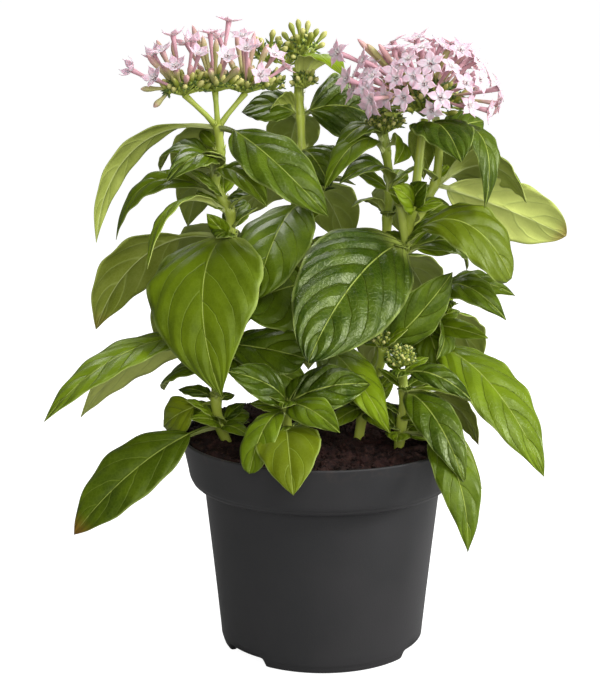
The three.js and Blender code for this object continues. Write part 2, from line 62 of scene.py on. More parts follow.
def bezier(a, b, c, d, t):
    s = 1 - t
    point = a * (s * s * s) + b * (3 * s * s * t) + c * (3 * s * t * t) + d * (t * t * t)
    aim = (b - a) * (3 * s * s) + (c - b) * (6 * s * t) + (d - c) * (3 * t * t)
    return point, aim.normalized()


def throughPoints(points, t):
    # a smooth line through points, t from 0 to 1
    spot = (len(points) - 1) * min(max(t, 0), 1)
    k = min(int(spot), len(points) - 2)
    w = spot - k
    p1, p2 = points[k], points[k + 1]
    p0 = points[k - 1] if k > 0 else p1 * 2 - p2
    p3 = points[k + 2] if k + 2 < len(points) else p2 * 2 - p1
    m1, m2 = (p2 - p0) * 0.5, (p3 - p1) * 0.5
    return (
        p1 * (2 * w ** 3 - 3 * w ** 2 + 1) + m1 * (w ** 3 - 2 * w ** 2 + w)
        + p2 * (3 * w ** 2 - 2 * w ** 3) + m2 * (w ** 3 - w ** 2)
    )


def atHeight(points, height):
    # where a line reaches a height, and how far along it that is
    low, high = 0.0, 1.0
    for _ in range(24):
        middle = (low + high) / 2
        if throughPoints(points, middle).z < height * mm:
            low = middle
        else:
            high = middle
    return throughPoints(points, low), low


def capDirections(count, reach):
    # unit directions spread evenly over a cap about +Z that reaches down to an angle in degrees
    lowest = math.cos(math.radians(reach))
    for k in range(count):
        z = 1 - ((k + 0.5) / count) * (1 - lowest)
        r = math.sqrt(max(1 - z * z, 0))
        turn = k * goldenAngle
        yield Vector((r * math.cos(turn), r * math.sin(turn), z))


def sideways(axis):
    side = axis.cross(Vector((0.37, 0.91, 0.2))).normalized()
    return side, axis.cross(side).normalized()


def roundAbout(aim, turn):
    # the way out from an axis at an angle round it
    side, across = sideways(aim)
    return side * math.cos(turn) + across * math.sin(turn)


def facesOf(verts):
    return {face for v in verts for face in v.link_faces}


def setUv(verts, layer, where):
    for face in facesOf(verts):
        for loop in face.loops:
            loop[layer].uv = where[loop.vert]


def paint(verts, index):
    for face in facesOf(verts):
        face.material_index = index
        face.smooth = True


def newPart():
    part = bmesh.new()
    part.loops.layers.uv.new("blade")
    return part


def pour(part, bm):
    # moves a small mesh into a larger one; small ones are quicker to work in
    mesh = bpy.data.meshes.new("poured")
    part.to_mesh(mesh)
    part.free()
    bm.from_mesh(mesh, face_normals=False, vertex_normals=False)
    bpy.data.meshes.remove(mesh)


def openTube(bm, points, radii, sides, index, tone):
    # a tube along a row of points, with a radius at each; its ends stay open
    uvLayer = bm.loops.layers.uv.verify()
    rows = len(points) - 1
    verts = bmesh.ops.create_grid(bm, x_segments=sides, y_segments=rows, size=0.5)["verts"]
    aims = [(points[min(k + 1, rows)] - points[max(k - 1, 0)]).normalized() for k in range(rows + 1)]
    side, _ = sideways(aims[0])
    frames = []
    for aim in aims:
        side = (side - aim * side.dot(aim)).normalized()
        frames.append((side, aim.cross(side)))
    where = {}
    for v in verts:
        k = round((v.co.y + 0.5) * rows)
        turn = (v.co.x + 0.5) * 2 * math.pi
        where[v] = (tone, k / rows)
        v.co = points[k] + (frames[k][0] * math.cos(turn) + frames[k][1] * math.sin(turn)) * radii[k]
    setUv(verts, uvLayer, where)
    paint(verts, index)
    faces = facesOf(verts)
    bmesh.ops.remove_doubles(bm, verts=verts, dist=1e-7)
    return faces


def tube(bm, points, radii, sides, index=0, tone=0.5):
    # the same with both ends closed
    faces = openTube(bm, points, radii, sides, index, tone)
    edges = list({e for f in faces if f.is_valid for e in f.edges if len(e.link_faces) == 1})
    uvLayer = bm.loops.layers.uv.verify()
    for face in bmesh.ops.holes_fill(bm, edges=edges, sides=0)["faces"]:
        face.material_index = index
        face.smooth = False
        for loop in face.loops:
            loop[uvLayer].uv = (tone, 1)


def growMany(bm, count, grow):
    # grows small things in batches
    for start in range(0, count, 60):
        part = newPart()
        for _ in range(min(60, count - start)):
            grow(part)
        pour(part, bm)


def addToScene(name, data):
    thing = bpy.data.objects.new(name, data)
    bpy.context.scene.collection.objects.link(thing)
    return thing


def objectFrom(bm, name, materials):
    mesh = bpy.data.meshes.new(name)
    bm.to_mesh(mesh)
    bm.free()
    for material in materials:
        mesh.materials.append(material)
    return addToScene(name, mesh)


def pieceFrom(bm, name, materials, node=None):
    piece = objectFrom(bm, name, materials)
    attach(piece, "root")
    if node:
        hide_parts(node)
    return piece


# shader groups and materials

def addNode(tree, kind, **values):
    node = tree.nodes.new(kind)
    for key, value in values.items():
        setattr(node, key, value)
    return node


def feed(tree, socket, value):
    # links another node's socket, and sets any other value
    if isinstance(value, bpy.types.NodeSocket):
        tree.links.new(value, socket)
    else:
        socket.default_value = value


def wire(tree, node, **inputs):
    # feeds inputs by socket name, with spaces written as underscores
    for key, value in inputs.items():
        feed(tree, node.inputs[key.replace("_", " ")], value)
    return node


def calc(tree, operation, *values, clamp=False):
    node = addNode(tree, "ShaderNodeMath", operation=operation, use_clamp=clamp)
    for k, value in enumerate(values):
        feed(tree, node.inputs[k], value)
    return node.outputs[0]


def blendColour(tree, a, b, factor):
    node = addNode(tree, "ShaderNodeMix", data_type="RGBA")
    for k, value in ((0, factor), (6, a), (7, b)):
        feed(tree, node.inputs[k], (*value, 1) if isinstance(value, tuple) else value)
    return node.outputs[2]


def layOver(tree, colour, *coats):
    # lays colours over one another, each where its mask is and as strong as it says
    for over, mask, strength in coats:
        colour = blendColour(tree, colour, over, calc(tree, "MULTIPLY", mask, strength))
    return colour


def ramp(tree, value, low, high):
    # 0 below low, 1 above high
    node = addNode(tree, "ShaderNodeMapRange", interpolation_type="SMOOTHSTEP")
    wire(tree, node, Value=value, From_Min=low, From_Max=high)
    return node.outputs[0]


def rampDown(tree, value, low, high):
    # 1 below low, 0 above high
    return calc(tree, "SUBTRACT", 1.0, ramp(tree, value, low, high))


def noise(tree, vector, scale, detail=3.0, roughness=0.55):
    node = addNode(tree, "ShaderNodeTexNoise")
    wire(tree, node, Vector=vector, Scale=scale, Detail=detail, Roughness=roughness)
    return node.outputs["Fac"]


def splitUp(tree, vector):
    return wire(tree, addNode(tree, "ShaderNodeSeparateXYZ"), Vector=vector).outputs


def fromMiddle(tree, share):
    # 0 in the middle of a share that runs from 0 to 1, and 1 at both its ends
    return calc(tree, "ABSOLUTE", calc(tree, "MULTIPLY_ADD", share, 2.0, -1.0))


def makeVeinGroup():
    # the masks of a leaf, from its blade map (across, along) and its vein map (vein count, way out)
    tree = bpy.data.node_groups.new("leafVeins", "ShaderNodeTree")
    for name in ("Blade", "Veins", "Place"):
        tree.interface.new_socket(name, in_out="INPUT", socket_type="NodeSocketVector")
    for name in ("Vein Width", "Rib Width"):
        tree.interface.new_socket(name, in_out="INPUT", socket_type="NodeSocketFloat")
    given = addNode(tree, "NodeGroupInput").outputs
    blade = splitUp(tree, given["Blade"])
    veins = splitUp(tree, given["Veins"])
    across = fromMiddle(tree, blade["X"])
    along = blade["Y"]
    ribReach = calc(tree, "MULTIPLY", given["Rib Width"], calc(tree, "MULTIPLY_ADD", along, -0.6, 1.0))
    wobble = calc(tree, "MULTIPLY_ADD", noise(tree, given["Place"], 160.0, 1.0), 0.16, -0.08)
    count = calc(tree, "ADD", veins["X"], wobble)
    fromVein = calc(tree, "ABSOLUTE", calc(tree, "SUBTRACT", calc(tree, "FRACT", count), 0.5))
    nearVein = calc(tree, "SUBTRACT", 0.5, fromVein)
    cells = addNode(tree, "ShaderNodeTexVoronoi", feature="DISTANCE_TO_EDGE")
    wire(tree, cells, Vector=given["Place"], Scale=520.0)
    masks = {
        "Rib": rampDown(tree, veins["Y"], 0.0, ribReach),
        "Vein": calc(tree, "MULTIPLY", rampDown(tree, nearVein, 0.0, given["Vein Width"]),
                     rampDown(tree, across, 0.62, 0.98)),
        "Margin": ramp(tree, across, 0.93, 0.99),
        "Net": rampDown(tree, cells.outputs["Distance"], 0.0, 0.16),
        "Mottle": noise(tree, given["Place"], 70.0, 4.0),
        "Tip": ramp(tree, along, 0.86, 1.0),
        "Foot": rampDown(tree, along, 0.05, 0.2),
        "Quilt": calc(tree, "POWER", calc(tree, "MULTIPLY", nearVein, 2.0), 0.9),
    }
    for name in masks:
        tree.interface.new_socket(name, in_out="OUTPUT", socket_type="NodeSocketFloat")
    wire(tree, addNode(tree, "NodeGroupOutput"), **masks)
    return tree


def newMaterial(name):
    material = bpy.data.materials.new(name)
    material.use_nodes = True
    tree = material.node_tree
    return material, tree, tree.nodes["Principled BSDF"]


def mapOf(tree, name):
    return addNode(tree, "ShaderNodeUVMap", uv_map=name).outputs["UV"]


def placeOf(tree):
    return addNode(tree, "ShaderNodeTexCoord").outputs["Object"]


def relief(tree, shader, height, distance, strength):
    bump = wire(tree, addNode(tree, "ShaderNodeBump"), Height=height, Distance=distance, Strength=strength)
    wire(tree, shader, Normal=bump.outputs["Normal"])


leafLooks = {
    "top": {
        "dark": (0.019, 0.042, 0.0008), "bright": (0.205, 0.300, 0.006), "old": (0.130, 0.150, 0.004),
        "rib": (0.38, 0.46, 0.09), "vein": (0.19, 0.26, 0.028), "margin": (0.30, 0.38, 0.09),
        "brown": (0.20, 0.09, 0.015), "roughness": 0.48, "veinWidth": 0.05, "ribWidth": 0.05,
        "relief": 0.0013, "polish": 0.20, "shine": 0.30, "sheen": (0.90, 1.0, 0.55, 1),
    },
    "under": {
        "dark": (0.125, 0.172, 0.003), "bright": (0.54, 0.60, 0.16), "old": (0.15, 0.17, 0.010),
        "rib": (0.52, 0.58, 0.22), "vein": (0.40, 0.47, 0.13), "margin": (0.36, 0.42, 0.12),
        "brown": (0.24, 0.13, 0.03), "roughness": 0.60, "veinWidth": 0.10, "ribWidth": 0.05,
        "relief": -0.0008, "polish": 0.05, "shine": 0.12, "sheen": (0.90, 1.0, 0.45, 1),
    },
}


def makeLeafMaterial(name, look, veinGroup):
    # the tone attribute holds how light, how old and how scorched a leaf is, and how bold its relief
    material, tree, shader = newMaterial(name)
    group = addNode(tree, "ShaderNodeGroup", node_tree=veinGroup)
    wire(tree, group, Blade=mapOf(tree, "blade"), Veins=mapOf(tree, "veins"), Place=placeOf(tree),
         Vein_Width=look["veinWidth"], Rib_Width=look["ribWidth"])
    masks = group.outputs
    tone = addNode(tree, "ShaderNodeAttribute", attribute_name="tone")
    bold = tone.outputs["Alpha"]
    parts = wire(tree, addNode(tree, "ShaderNodeSeparateColor"), Color=tone.outputs["Color"]).outputs
    patch = calc(tree, "MULTIPLY_ADD", masks["Mottle"], 0.8, -0.4)
    light = calc(tree, "ADD", parts["Red"], patch, clamp=True)
    pale = calc(tree, "MULTIPLY_ADD", bold, -0.45, 0.55)
    ribbed = calc(tree, "MAXIMUM", calc(tree, "MULTIPLY", masks["Rib"], 0.9), masks["Foot"])
    colour = layOver(
        tree, blendColour(tree, look["dark"], look["bright"], light),
        (look["old"], parts["Green"], 0.85), (look["vein"], masks["Net"], 0.10),
        (look["vein"], masks["Vein"], pale), (look["margin"], masks["Margin"], 0.6),
        (look["rib"], ribbed, 1.0), (look["brown"], masks["Tip"], parts["Blue"]),
    )
    rough = calc(tree, "MULTIPLY_ADD", masks["Mottle"], 0.12, look["roughness"] - 0.06)
    rough = calc(tree, "MULTIPLY_ADD", bold, -look["polish"], rough)
    shine = calc(tree, "MULTIPLY_ADD", bold, look["shine"], 0.14)
    wire(tree, shader, Base_Color=colour, Roughness=rough, Specular_IOR_Level=shine,
         Specular_Tint=look["sheen"])
    height = calc(tree, "MULTIPLY", calc(tree, "MULTIPLY_ADD", bold, 0.75, 0.08), masks["Quilt"])
    sunk = calc(tree, "MULTIPLY", calc(tree, "MULTIPLY_ADD", bold, 0.5, 0.04), masks["Vein"])
    height = calc(tree, "SUBTRACT", height, sunk)
    height = calc(tree, "MULTIPLY_ADD", masks["Net"], calc(tree, "MULTIPLY", bold, -0.06), height)
    height = calc(tree, "MULTIPLY_ADD", masks["Rib"], -0.15, height)
    relief(tree, shader, height, look["relief"], 1.0)
    return material


stemLook = {
    "low": (0.25, 0.33, 0.02), "high": (0.42, 0.49, 0.05), "joint": (0.56, 0.62, 0.18),
    "streak": (0.5, 0.6, 0.28), "roughness": 0.45,
}


def makeStemMaterial(look):
    material, tree, shader = newMaterial("stemSkin")
    place = placeOf(tree)
    streak = wire(tree, addNode(tree, "ShaderNodeMapping"), Vector=place, Scale=(900.0, 900.0, 60.0))
    grain = noise(tree, streak.outputs["Vector"], 1.0, 3.0)
    patch = noise(tree, place, 55.0, 2.0)
    shade = splitUp(tree, mapOf(tree, "blade"))["X"]
    colour = blendColour(tree, look["low"], look["high"], ramp(tree, patch, 0.3, 0.7))
    colour = layOver(tree, colour, (look["joint"], shade, 0.8),
                     (look["streak"], ramp(tree, grain, 0.55, 0.8), 0.25))
    wire(tree, shader, Base_Color=colour, Roughness=look["roughness"])
    relief(tree, shader, grain, 0.0002, 0.5)
    return material


petalLook = {
    "deep": (0.72, 0.43, 0.53), "light": (0.78, 0.56, 0.63), "heart": (0.76, 0.66, 0.69),
    "crease": (0.74, 0.40, 0.50), "line": (0.72, 0.45, 0.58), "roughness": 0.55,
    "through": 0.5, "reach": (1.0, 0.6, 0.6), "depth": 0.002,
}


def makePetalMaterial(look):
    # blade map: across the petal and from its foot to its tip
    material, tree, shader = newMaterial("petal")
    spot = splitUp(tree, mapOf(tree, "blade"))
    soft = noise(tree, placeOf(tree), 300.0, 2.0)
    crease = rampDown(tree, fromMiddle(tree, spot["X"]), 0.0, 0.22)
    waves = addNode(tree, "ShaderNodeTexWave", wave_type="BANDS", bands_direction="X")
    wire(tree, waves, Vector=mapOf(tree, "blade"), Scale=3.2, Distortion=1.5, Detail=1.0)
    lines = waves.outputs["Fac"]
    colour = blendColour(tree, look["deep"], look["light"], ramp(tree, soft, 0.3, 0.7))
    colour = blendColour(tree, colour, look["heart"], rampDown(tree, spot["Y"], 0.0, 0.45))
    colour = layOver(tree, colour, (look["crease"], crease, 0.25), (look["line"], lines, 0.15))
    wire(tree, shader, Base_Color=colour, Roughness=look["roughness"], Subsurface_Weight=look["through"],
         Subsurface_Radius=look["reach"], Subsurface_Scale=look["depth"])
    relief(tree, shader, lines, 0.0001, 0.5)
    return material


fadeLooks = {
    # the colours of foot and tip, the roughness, and the stretch over which one turns into the other
    "stemHairs": ((0.45, 0.52, 0.18), (0.80, 0.84, 0.50), 0.6, (0.2, 0.9)),
    "corollaTube": ((0.40, 0.36, 0.13), (0.58, 0.31, 0.36), 0.5, (0.05, 0.75)),
    "buds": ((0.24, 0.28, 0.03), (0.56, 0.53, 0.18), 0.5, (0.25, 0.95)),
    "pinkBuds": ((0.42, 0.40, 0.15), (0.60, 0.33, 0.33), 0.5, (0.25, 0.9)),
    "calyx": ((0.13, 0.20, 0.035), (0.07, 0.12, 0.02), 0.5, (0.2, 0.9)),
    "throatHairs": ((0.82, 0.72, 0.72), (0.86, 0.82, 0.78), 0.6, (0.2, 0.9)),
}


def makeFadeMaterial(name):
    # a colour that runs from one end of a tube or bud to the other
    foot, tip, roughness, stretch = fadeLooks[name]
    material, tree, shader = newMaterial(name)
    spot = splitUp(tree, mapOf(tree, "blade"))
    patch = calc(tree, "MULTIPLY_ADD", noise(tree, placeOf(tree), 260.0, 2.0), 0.4, -0.2)
    own = calc(tree, "MULTIPLY_ADD", spot["X"], 0.7, -0.35)
    shift = calc(tree, "ADD", spot["Y"], calc(tree, "ADD", patch, own))
    colour = blendColour(tree, foot, tip, ramp(tree, shift, *stretch))
    wire(tree, shader, Base_Color=colour, Roughness=roughness)
    relief(tree, shader, noise(tree, placeOf(tree), 1500.0, 2.0), 0.0001, 0.4)
    return material


potLook = {
    "dark": (0.026, 0.026, 0.027), "light": (0.031, 0.030, 0.031), "dust": (0.085, 0.062, 0.052),
    "dustFrom": (0.092, 0.1), "shine": 0.22,
}


def makePotMaterial(look):
    material, tree, shader = newMaterial("potPlastic")
    place = placeOf(tree)
    cloudy = noise(tree, place, 18.0, 3.0)
    fine = noise(tree, place, 1400.0, 3.0, 0.6)
    dust = noise(tree, place, 120.0, 5.0, 0.65)
    high = ramp(tree, splitUp(tree, place)["Z"], *look["dustFrom"])
    rimDust = calc(tree, "MULTIPLY", high, ramp(tree, dust, 0.5, 0.75))
    colour = blendColour(tree, look["dark"], look["light"], ramp(tree, cloudy, 0.35, 0.65))
    colour = layOver(tree, colour, (look["dust"], rimDust, 0.35))
    rough = calc(tree, "MULTIPLY_ADD", cloudy, 0.12, 0.42)
    wire(tree, shader, Base_Color=colour, Roughness=rough, Specular_IOR_Level=look["shine"])
    relief(tree, shader, fine, 0.00008, 0.5)
    return material


soilLook = {
    "wet": (0.008, 0.0035, 0.003), "dry": (0.048, 0.020, 0.014), "rust": (0.034, 0.011, 0.010),
    "roughness": 0.92, "shine": 0.2,
}


def makeSoilMaterial(look):
    material, tree, shader = newMaterial("peat")
    place = placeOf(tree)
    crumb = noise(tree, place, 330.0, 6.0, 0.7)
    patch = noise(tree, place, 60.0, 3.0)
    colour = blendColour(tree, look["wet"], look["dry"], ramp(tree, crumb, 0.38, 0.75))
    colour = layOver(tree, colour, (look["rust"], ramp(tree, patch, 0.45, 0.65), 0.5))
    wire(tree, shader, Base_Color=colour, Roughness=look["roughness"], Specular_IOR_Level=look["shine"])
    relief(tree, shader, crumb, 0.0016, 0.9)
    return material


print("materials")
veinGroup = makeVeinGroup()
leafTop = makeLeafMaterial("leafTop", leafLooks["top"], veinGroup)
leafUnder = makeLeafMaterial("leafUnder", leafLooks["under"], veinGroup)
stemSkin = makeStemMaterial(stemLook)
petalSkin = makePetalMaterial(petalLook)
fadeSkins = [makeFadeMaterial(name) for name in fadeLooks]
hairSkin, tubeSkin, budSkin, pinkBudSkin, calyxSkin, throatSkin = fadeSkins
potSkin = makePotMaterial(potLook)
soilSkin = makeSoilMaterial(soilLook)


# the plant's plan

# each stem: the middle line from its root in the soil to its top, in millimetres
stemLines = {
    "left": [(-39, -8, 88), (-46, -12, 105), (-48, -14, 122), (-45, -12, 164), (-41, -14, 197),
             (-42, -15, 206), (-47, -16, 215), (-47, -16, 222), (-45, -16, 229), (-46, -16, 243)],
    "rear": [(5, 20, 86), (0, 22, 125), (-5, 28, 157), (-8, 34, 189), (-10, 40, 241), (-12, 42, 264)],
    "right": [(15, -4, 86), (20, -4, 118), (28, 2, 143), (35, 6, 170), (38, 8, 187)],
    "rightInner": [(38, 8, 187), (40, 2, 202), (42, 0, 216), (44, 2, 235), (46, 4, 243)],
    "rightOuter": [(38, 8, 187), (43, 12, 196), (49, 15, 208), (52, 16, 215), (53, 16, 230), (51, 12, 243)],
    "rightShoot": [(21, -3, 123), (26, -10, 134), (27, -14, 143)],
    "backRight": [(24, 22, 86), (28, 24, 143), (30, 22, 193), (31, 20, 207), (31, 18, 214), (29, 16, 227),
                  (28, 15, 236)],
    "frontRight": [(33, -18, 86), (36, -20, 114), (36, -20, 127), (35, -20, 134)],
    "sideShoot": [(47, 20, 86), (48, 24, 119), (49, 24, 143), (53, 22, 156)],
    "frontShoot": [(-16, -34, 86), (-16, -36, 115), (-16, -36, 123)],
}


# what a leaf has unless its own line says otherwise: petiole and widest are shares of its length, twist
# is in degrees, tone 0 is dark and 1 bright, age turns it olive, scorch browns its tip, and bold deepens
# the swelling between its veins and its shine
leafHabit = {
    "petiole": 0.1, "widest": 0.42, "bow": 0, "fold": 0.18, "twist": 0,
    "tone": 0.5, "age": 0, "scorch": 0, "bold": 0.3,
}


def blade(height, tip, arch, width, facing, **more):
    return {"height": height, "tip": tip, "arch": arch, "width": width, "facing": facing, **leafHabit, **more}


# each leaf: the height where it leaves its stem, its tip, how far it arches, its width, the way its
# upper face looks, and what sets it apart
leafPlan = {
    "left": [
        blade(242, (-100, -20, 191), 26, 14, (-0.2, 0.5, 0.8), petiole=0.15, twist=25, tone=0.48),
        blade(242, (2, -58, 208), 15, 28, (0.45, -1, 0.7), petiole=0.22, fold=0.25, bow=-6, tone=0.2,
              bold=0.75),
        blade(221, (-24, -42, 210), 10, 16, (0.2, -0.8, 1), fold=0.45, tone=0.4, bold=0.6),
        blade(220, (-67, -44, 221), 14, 16, (0, -0.7, 1), tone=0.25, bold=0.7),
        blade(225, (-74, 12, 219), 14, 14, (0, -0.6, 1), tone=0.25),
        blade(231, (-55, 5, 238), 3, 6, (0, -1, 0.2), tone=0.6),
        blade(209, (-93, -5, 190), 24, 18, (0, -0.35, 1), petiole=0.12, twist=-15, tone=0.4, bold=0.6),
        blade(204, (-75, -52, 185), 20, 14, (-0.1, 0.2, 1), twist=15, tone=0.7),
        blade(193, (-104, 5, 147), 18, 32, (-0.4, 0.9, 0.7), petiole=0.28, bow=8, tone=0.3, age=0.4,
              scorch=0.5, bold=0.2),
        blade(193, (-51, -25, 205), 2, 8, (0, -1, 0), tone=0.6),
        blade(195, (-43, -66, 132), 20, 52, (-0.3, -1, 0.35), bow=-6, widest=0.38, petiole=0.04, tone=0.4,
              age=0.15, bold=0.2),
        blade(144, (-118, -70, 123), 17, 22, (0, -0.25, 1), bow=-3, petiole=0.12, bold=0.5),
        blade(140, (-109, -20, 112), 19, 24, (-0.1, 0.9, 0.9), petiole=0.15, tone=0.95, bold=0.2),
        blade(118, (-73, -6, 104), 8, 18, (0.2, -1, 0.7), petiole=0.3, tone=0.7, age=0.7),
        blade(107, (-110, -45, 65), 15, 29, (-0.1, -0.8, 1), petiole=0.2, widest=0.45, fold=0.3, tone=0.16,
              age=0.1, scorch=0.9, bold=0.2),
        blade(105, (-59, -30, 114), 4, 9, (0, -1, 1), tone=0.45),
        blade(105, (-33, -4, 110), 6, 11, (0, -1, 1)),
        blade(105, (-32, -32, 106), 4, 8, (0.2, -1, 1), tone=0.45),
        blade(131, (-74, 15, 116), 10, 20, (0, -0.6, 1), tone=0.35, bold=0.4),
        blade(144, (-7, -33, 142), 4, 24, (0, -1, 0.8), widest=0.6, tone=0.2, bold=0.6),
        blade(138, (-5, -24, 125), 10, 26, (0.1, -1, 0.8), tone=0.3, bold=0.5),
        blade(242, (-66, 32, 206), 12, 22, (-0.2, 0.8, 0.8), tone=0.4),
        blade(222, (-64, 50, 188), 12, 22, (-0.1, 0.8, 0.8), tone=0.35),
        blade(195, (-66, 52, 158), 14, 28, (-0.1, 1, 0.6), tone=0.4),
        blade(165, (-80, 46, 134), 14, 28, (-0.4, 1, 0.7), tone=0.3),
        blade(140, (-56, 58, 112), 14, 24, (0, 1, 0.7), tone=0.45),
    ],
    "rear": [
        blade(251, (11, 20, 260), 18, 22, (-0.3, 0.4, 0.8), tone=0.9),
        blade(243, (-24, 30, 246), 6, 16, (0, 1, 0.5), tone=0.4),
        blade(242, (25, 50, 239), 12, 38, (0.1, -1, 0.8), widest=0.5, tone=0.1, bold=0.9),
        blade(241, (-38, 45, 243), 8, 22, (0, -0.8, 1), tone=0.2, bold=0.5),
        blade(201, (-30, -28, 167), 12, 34, (-0.3, -1, 0.6), widest=0.5, tone=0.28, bold=0.4),
        blade(163, (-38, -30, 164), 8, 44, (-0.1, -1, 0.35), widest=0.5, tone=0.2, bold=0.5),
        blade(191, (16, 28, 211), 14, 16, (0, 0.1, 1), fold=0.6, tone=0.25, bold=0.7),
        blade(209, (-34, 12, 222), 8, 24, (-0.2, -1, 0.6), tone=0.2),
        blade(226, (4, 22, 210), 8, 24, (0.1, -1, 0.6), tone=0.15, bold=0.7),
        blade(176, (16, 40, 142), 8, 26, (0.3, -1, 0.5), tone=0.15),
        blade(133, (29, -44, 111), 16, 22, (0.3, -1, 0.7), bow=-3, tone=0.7, bold=0.5),
        blade(241, (-18, 84, 206), 14, 26, (0, 1, 0.7), tone=0.4),
        blade(209, (14, 84, 172), 14, 30, (0.2, 1, 0.6), tone=0.35),
        blade(209, (-46, 78, 184), 12, 26, (-0.4, 1, 0.7), tone=0.45),
        blade(180, (-34, 82, 138), 14, 34, (-0.2, 1, 0.5), tone=0.3),
        blade(150, (-6, 84, 110), 14, 30, (0, 1, 0.6), tone=0.4),
    ],
    "right": [
        blade(187, (-7, -70, 148), 9, 48, (0.2, -1, 0.5), widest=0.46, petiole=0.03, bow=-8, tone=0.04,
              bold=0.75),
        blade(187, (85, -8, 173), 28, 32, (0.3, -0.7, 0.8), widest=0.6, petiole=0.12, tone=0.28, age=0.35,
              bold=0.4),
        blade(185, (66, 28, 184), 4, 14, (0, -1, 0.5), tone=0.85),
        blade(182, (68, 26, 171), 16, 17, (0, -0.7, 1), tone=0.25, bold=0.7),
        blade(112, (1, -24, 107), 5, 9, (0, -1, 1)),
        blade(109, (30, -32, 108), 4, 9, (0.2, -1, 1)),
    ],
    "rightInner": [
        blade(205, (46, -10, 217), 3, 12, (-0.3, -1, 0.5), tone=0.2),
        blade(202, (30, -18, 216), 5, 13, (0.3, -1, 0.5), tone=0.8),
        blade(239, (59, -34, 228), 10, 28, (0, -0.15, 1), petiole=0.04, tone=0.08, bold=0.6),
        blade(241, (47, 28, 213), 10, 14, (0, 1, 0.3), tone=0.2),
    ],
    "rightOuter": [
        blade(194, (59, 30, 202), 6, 15, (0, -1, 0.5), tone=0.4),
        blade(213, (116, 40, 185), 4, 31, (-0.1, 1, 0.5), widest=0.5, tone=0.95, scorch=0.7, bold=0.2),
        blade(213, (92, 0, 206), 20, 26, (0, 1, 1), petiole=0.08, bold=0.15),
        blade(237, (71, -18, 206), 22, 17, (0.6, -0.6, 0.7), petiole=0.05, tone=0.15, bold=0.6),
        blade(234, (75, 33, 240), 4, 17, (0, -1, 0.6), tone=0.15),
        blade(236, (66, 56, 208), 12, 24, (0.3, 1, 0.7), tone=0.35),
    ],
    "rightShoot": [
        blade(142, (58, -12, 177), 6, 21, (0.4, -1, 0.2), petiole=0.05, tone=0.2, bold=0.5),
    ],
    "backRight": [
        blade(231, (4, -4, 227), 14, 13, (-0.3, -0.6, 1), tone=0.2),
        blade(227, (0, -12, 213), 18, 15, (-0.2, -0.7, 1), tone=0.25),
        blade(230, (31, -16, 225), 10, 12, (0.5, -1, 0.2)),
        blade(208, (7, -2, 215), 14, 15, (0, -0.5, 1), fold=0.5, tone=0.2, bold=0.6),
        blade(196, (13, 10, 203), 8, 10, (0, 0.3, 1), tone=0.3),
        blade(208, (42, 78, 178), 12, 26, (0.2, 1, 0.6), tone=0.4),
        blade(176, (56, 80, 140), 14, 30, (0.3, 1, 0.6), tone=0.35),
        blade(140, (26, 76, 112), 12, 24, (0, 1, 0.7), tone=0.45),
        blade(162, (43, 34, 124), 6, 20, (0.2, -1, 0.5), tone=0.15),
    ],
    "frontRight": [
        blade(124, (61, -58, 92), 14, 20, (0.25, -1, 0.7), petiole=0.05, tone=0.15, bold=0.8),
        blade(105, (62, -66, 64), 23, 20, (0.35, -1, 0.7), petiole=0.25, bow=5, tone=0.25, bold=0.4),
        blade(112, (70, -42, 85), 18, 12, (0.3, -1, 0.7), tone=0.35, age=0.4),
        blade(124, (77, -12, 110), 9, 8, (0, -0.3, 1)),
        blade(132, (66, -30, 122), 12, 12, (0.1, -1, 0.9), tone=0.15, bold=0.8),
        blade(103, (60, -10, 104), 4, 12, (0, -1, 1)),
    ],
    "sideShoot": [
        blade(114, (73, 5, 92), 10, 15, (0.2, 1, 0.6), tone=0.4, scorch=0.6),
        blade(136, (99, -30, 87), 20, 34, (0.7, -1, 0.7), bow=-3, bold=0.6),
        blade(147, (52, -2, 134), 8, 14, (0.9, -1, 0.1), fold=0.5, tone=0.2, bold=0.5),
        blade(143, (55, 8, 124), 8, 18, (0.1, -1, 0.2), tone=0.3),
        blade(145, (76, 0, 144), 5, 10, (0, -1, 0.6)),
        blade(147, (70, 50, 134), 10, 14, (0, 1, 0.4)),
        blade(155, (89, 10, 162), 14, 18, (0, -0.6, 1), tone=0.25, bold=0.7),
        blade(155, (83, -8, 154), 18, 20, (0, -0.6, 1), tone=0.25, bold=0.6),
        blade(150, (76, 58, 114), 14, 26, (0.4, 0.8, 0.7), tone=0.4),
        blade(125, (62, 72, 100), 12, 20, (0.2, 1, 0.8), tone=0.45),
    ],
    "frontShoot": [
        blade(122, (-42, -52, 141), 8, 18, (0, -1, 0.9), tone=0.12, bold=0.6),
        blade(122, (21, -35, 131), 10, 22, (0, -1, 0.8), tone=0.1, bold=1),
        blade(121, (7, -62, 116), 8, 17, (0.2, -1, 0.8), tone=0.3, bold=0.5),
        blade(118, (-32, -66, 99), 12, 15, (-0.4, -1, 0.6), widest=0.6, tone=0.4),
        blade(110, (-13, -84, 95), 12, 28, (0, -1, 0.4), widest=0.44, petiole=0.02, tone=0.36, age=0.6,
              bold=0.1),
    ],
}


def stemLine(name):
    return [vec(*p) for p in stemLines[name]]


def jointHeights(name):
    return sorted({plan["height"] for plan in leafPlan[name]})


# leaves

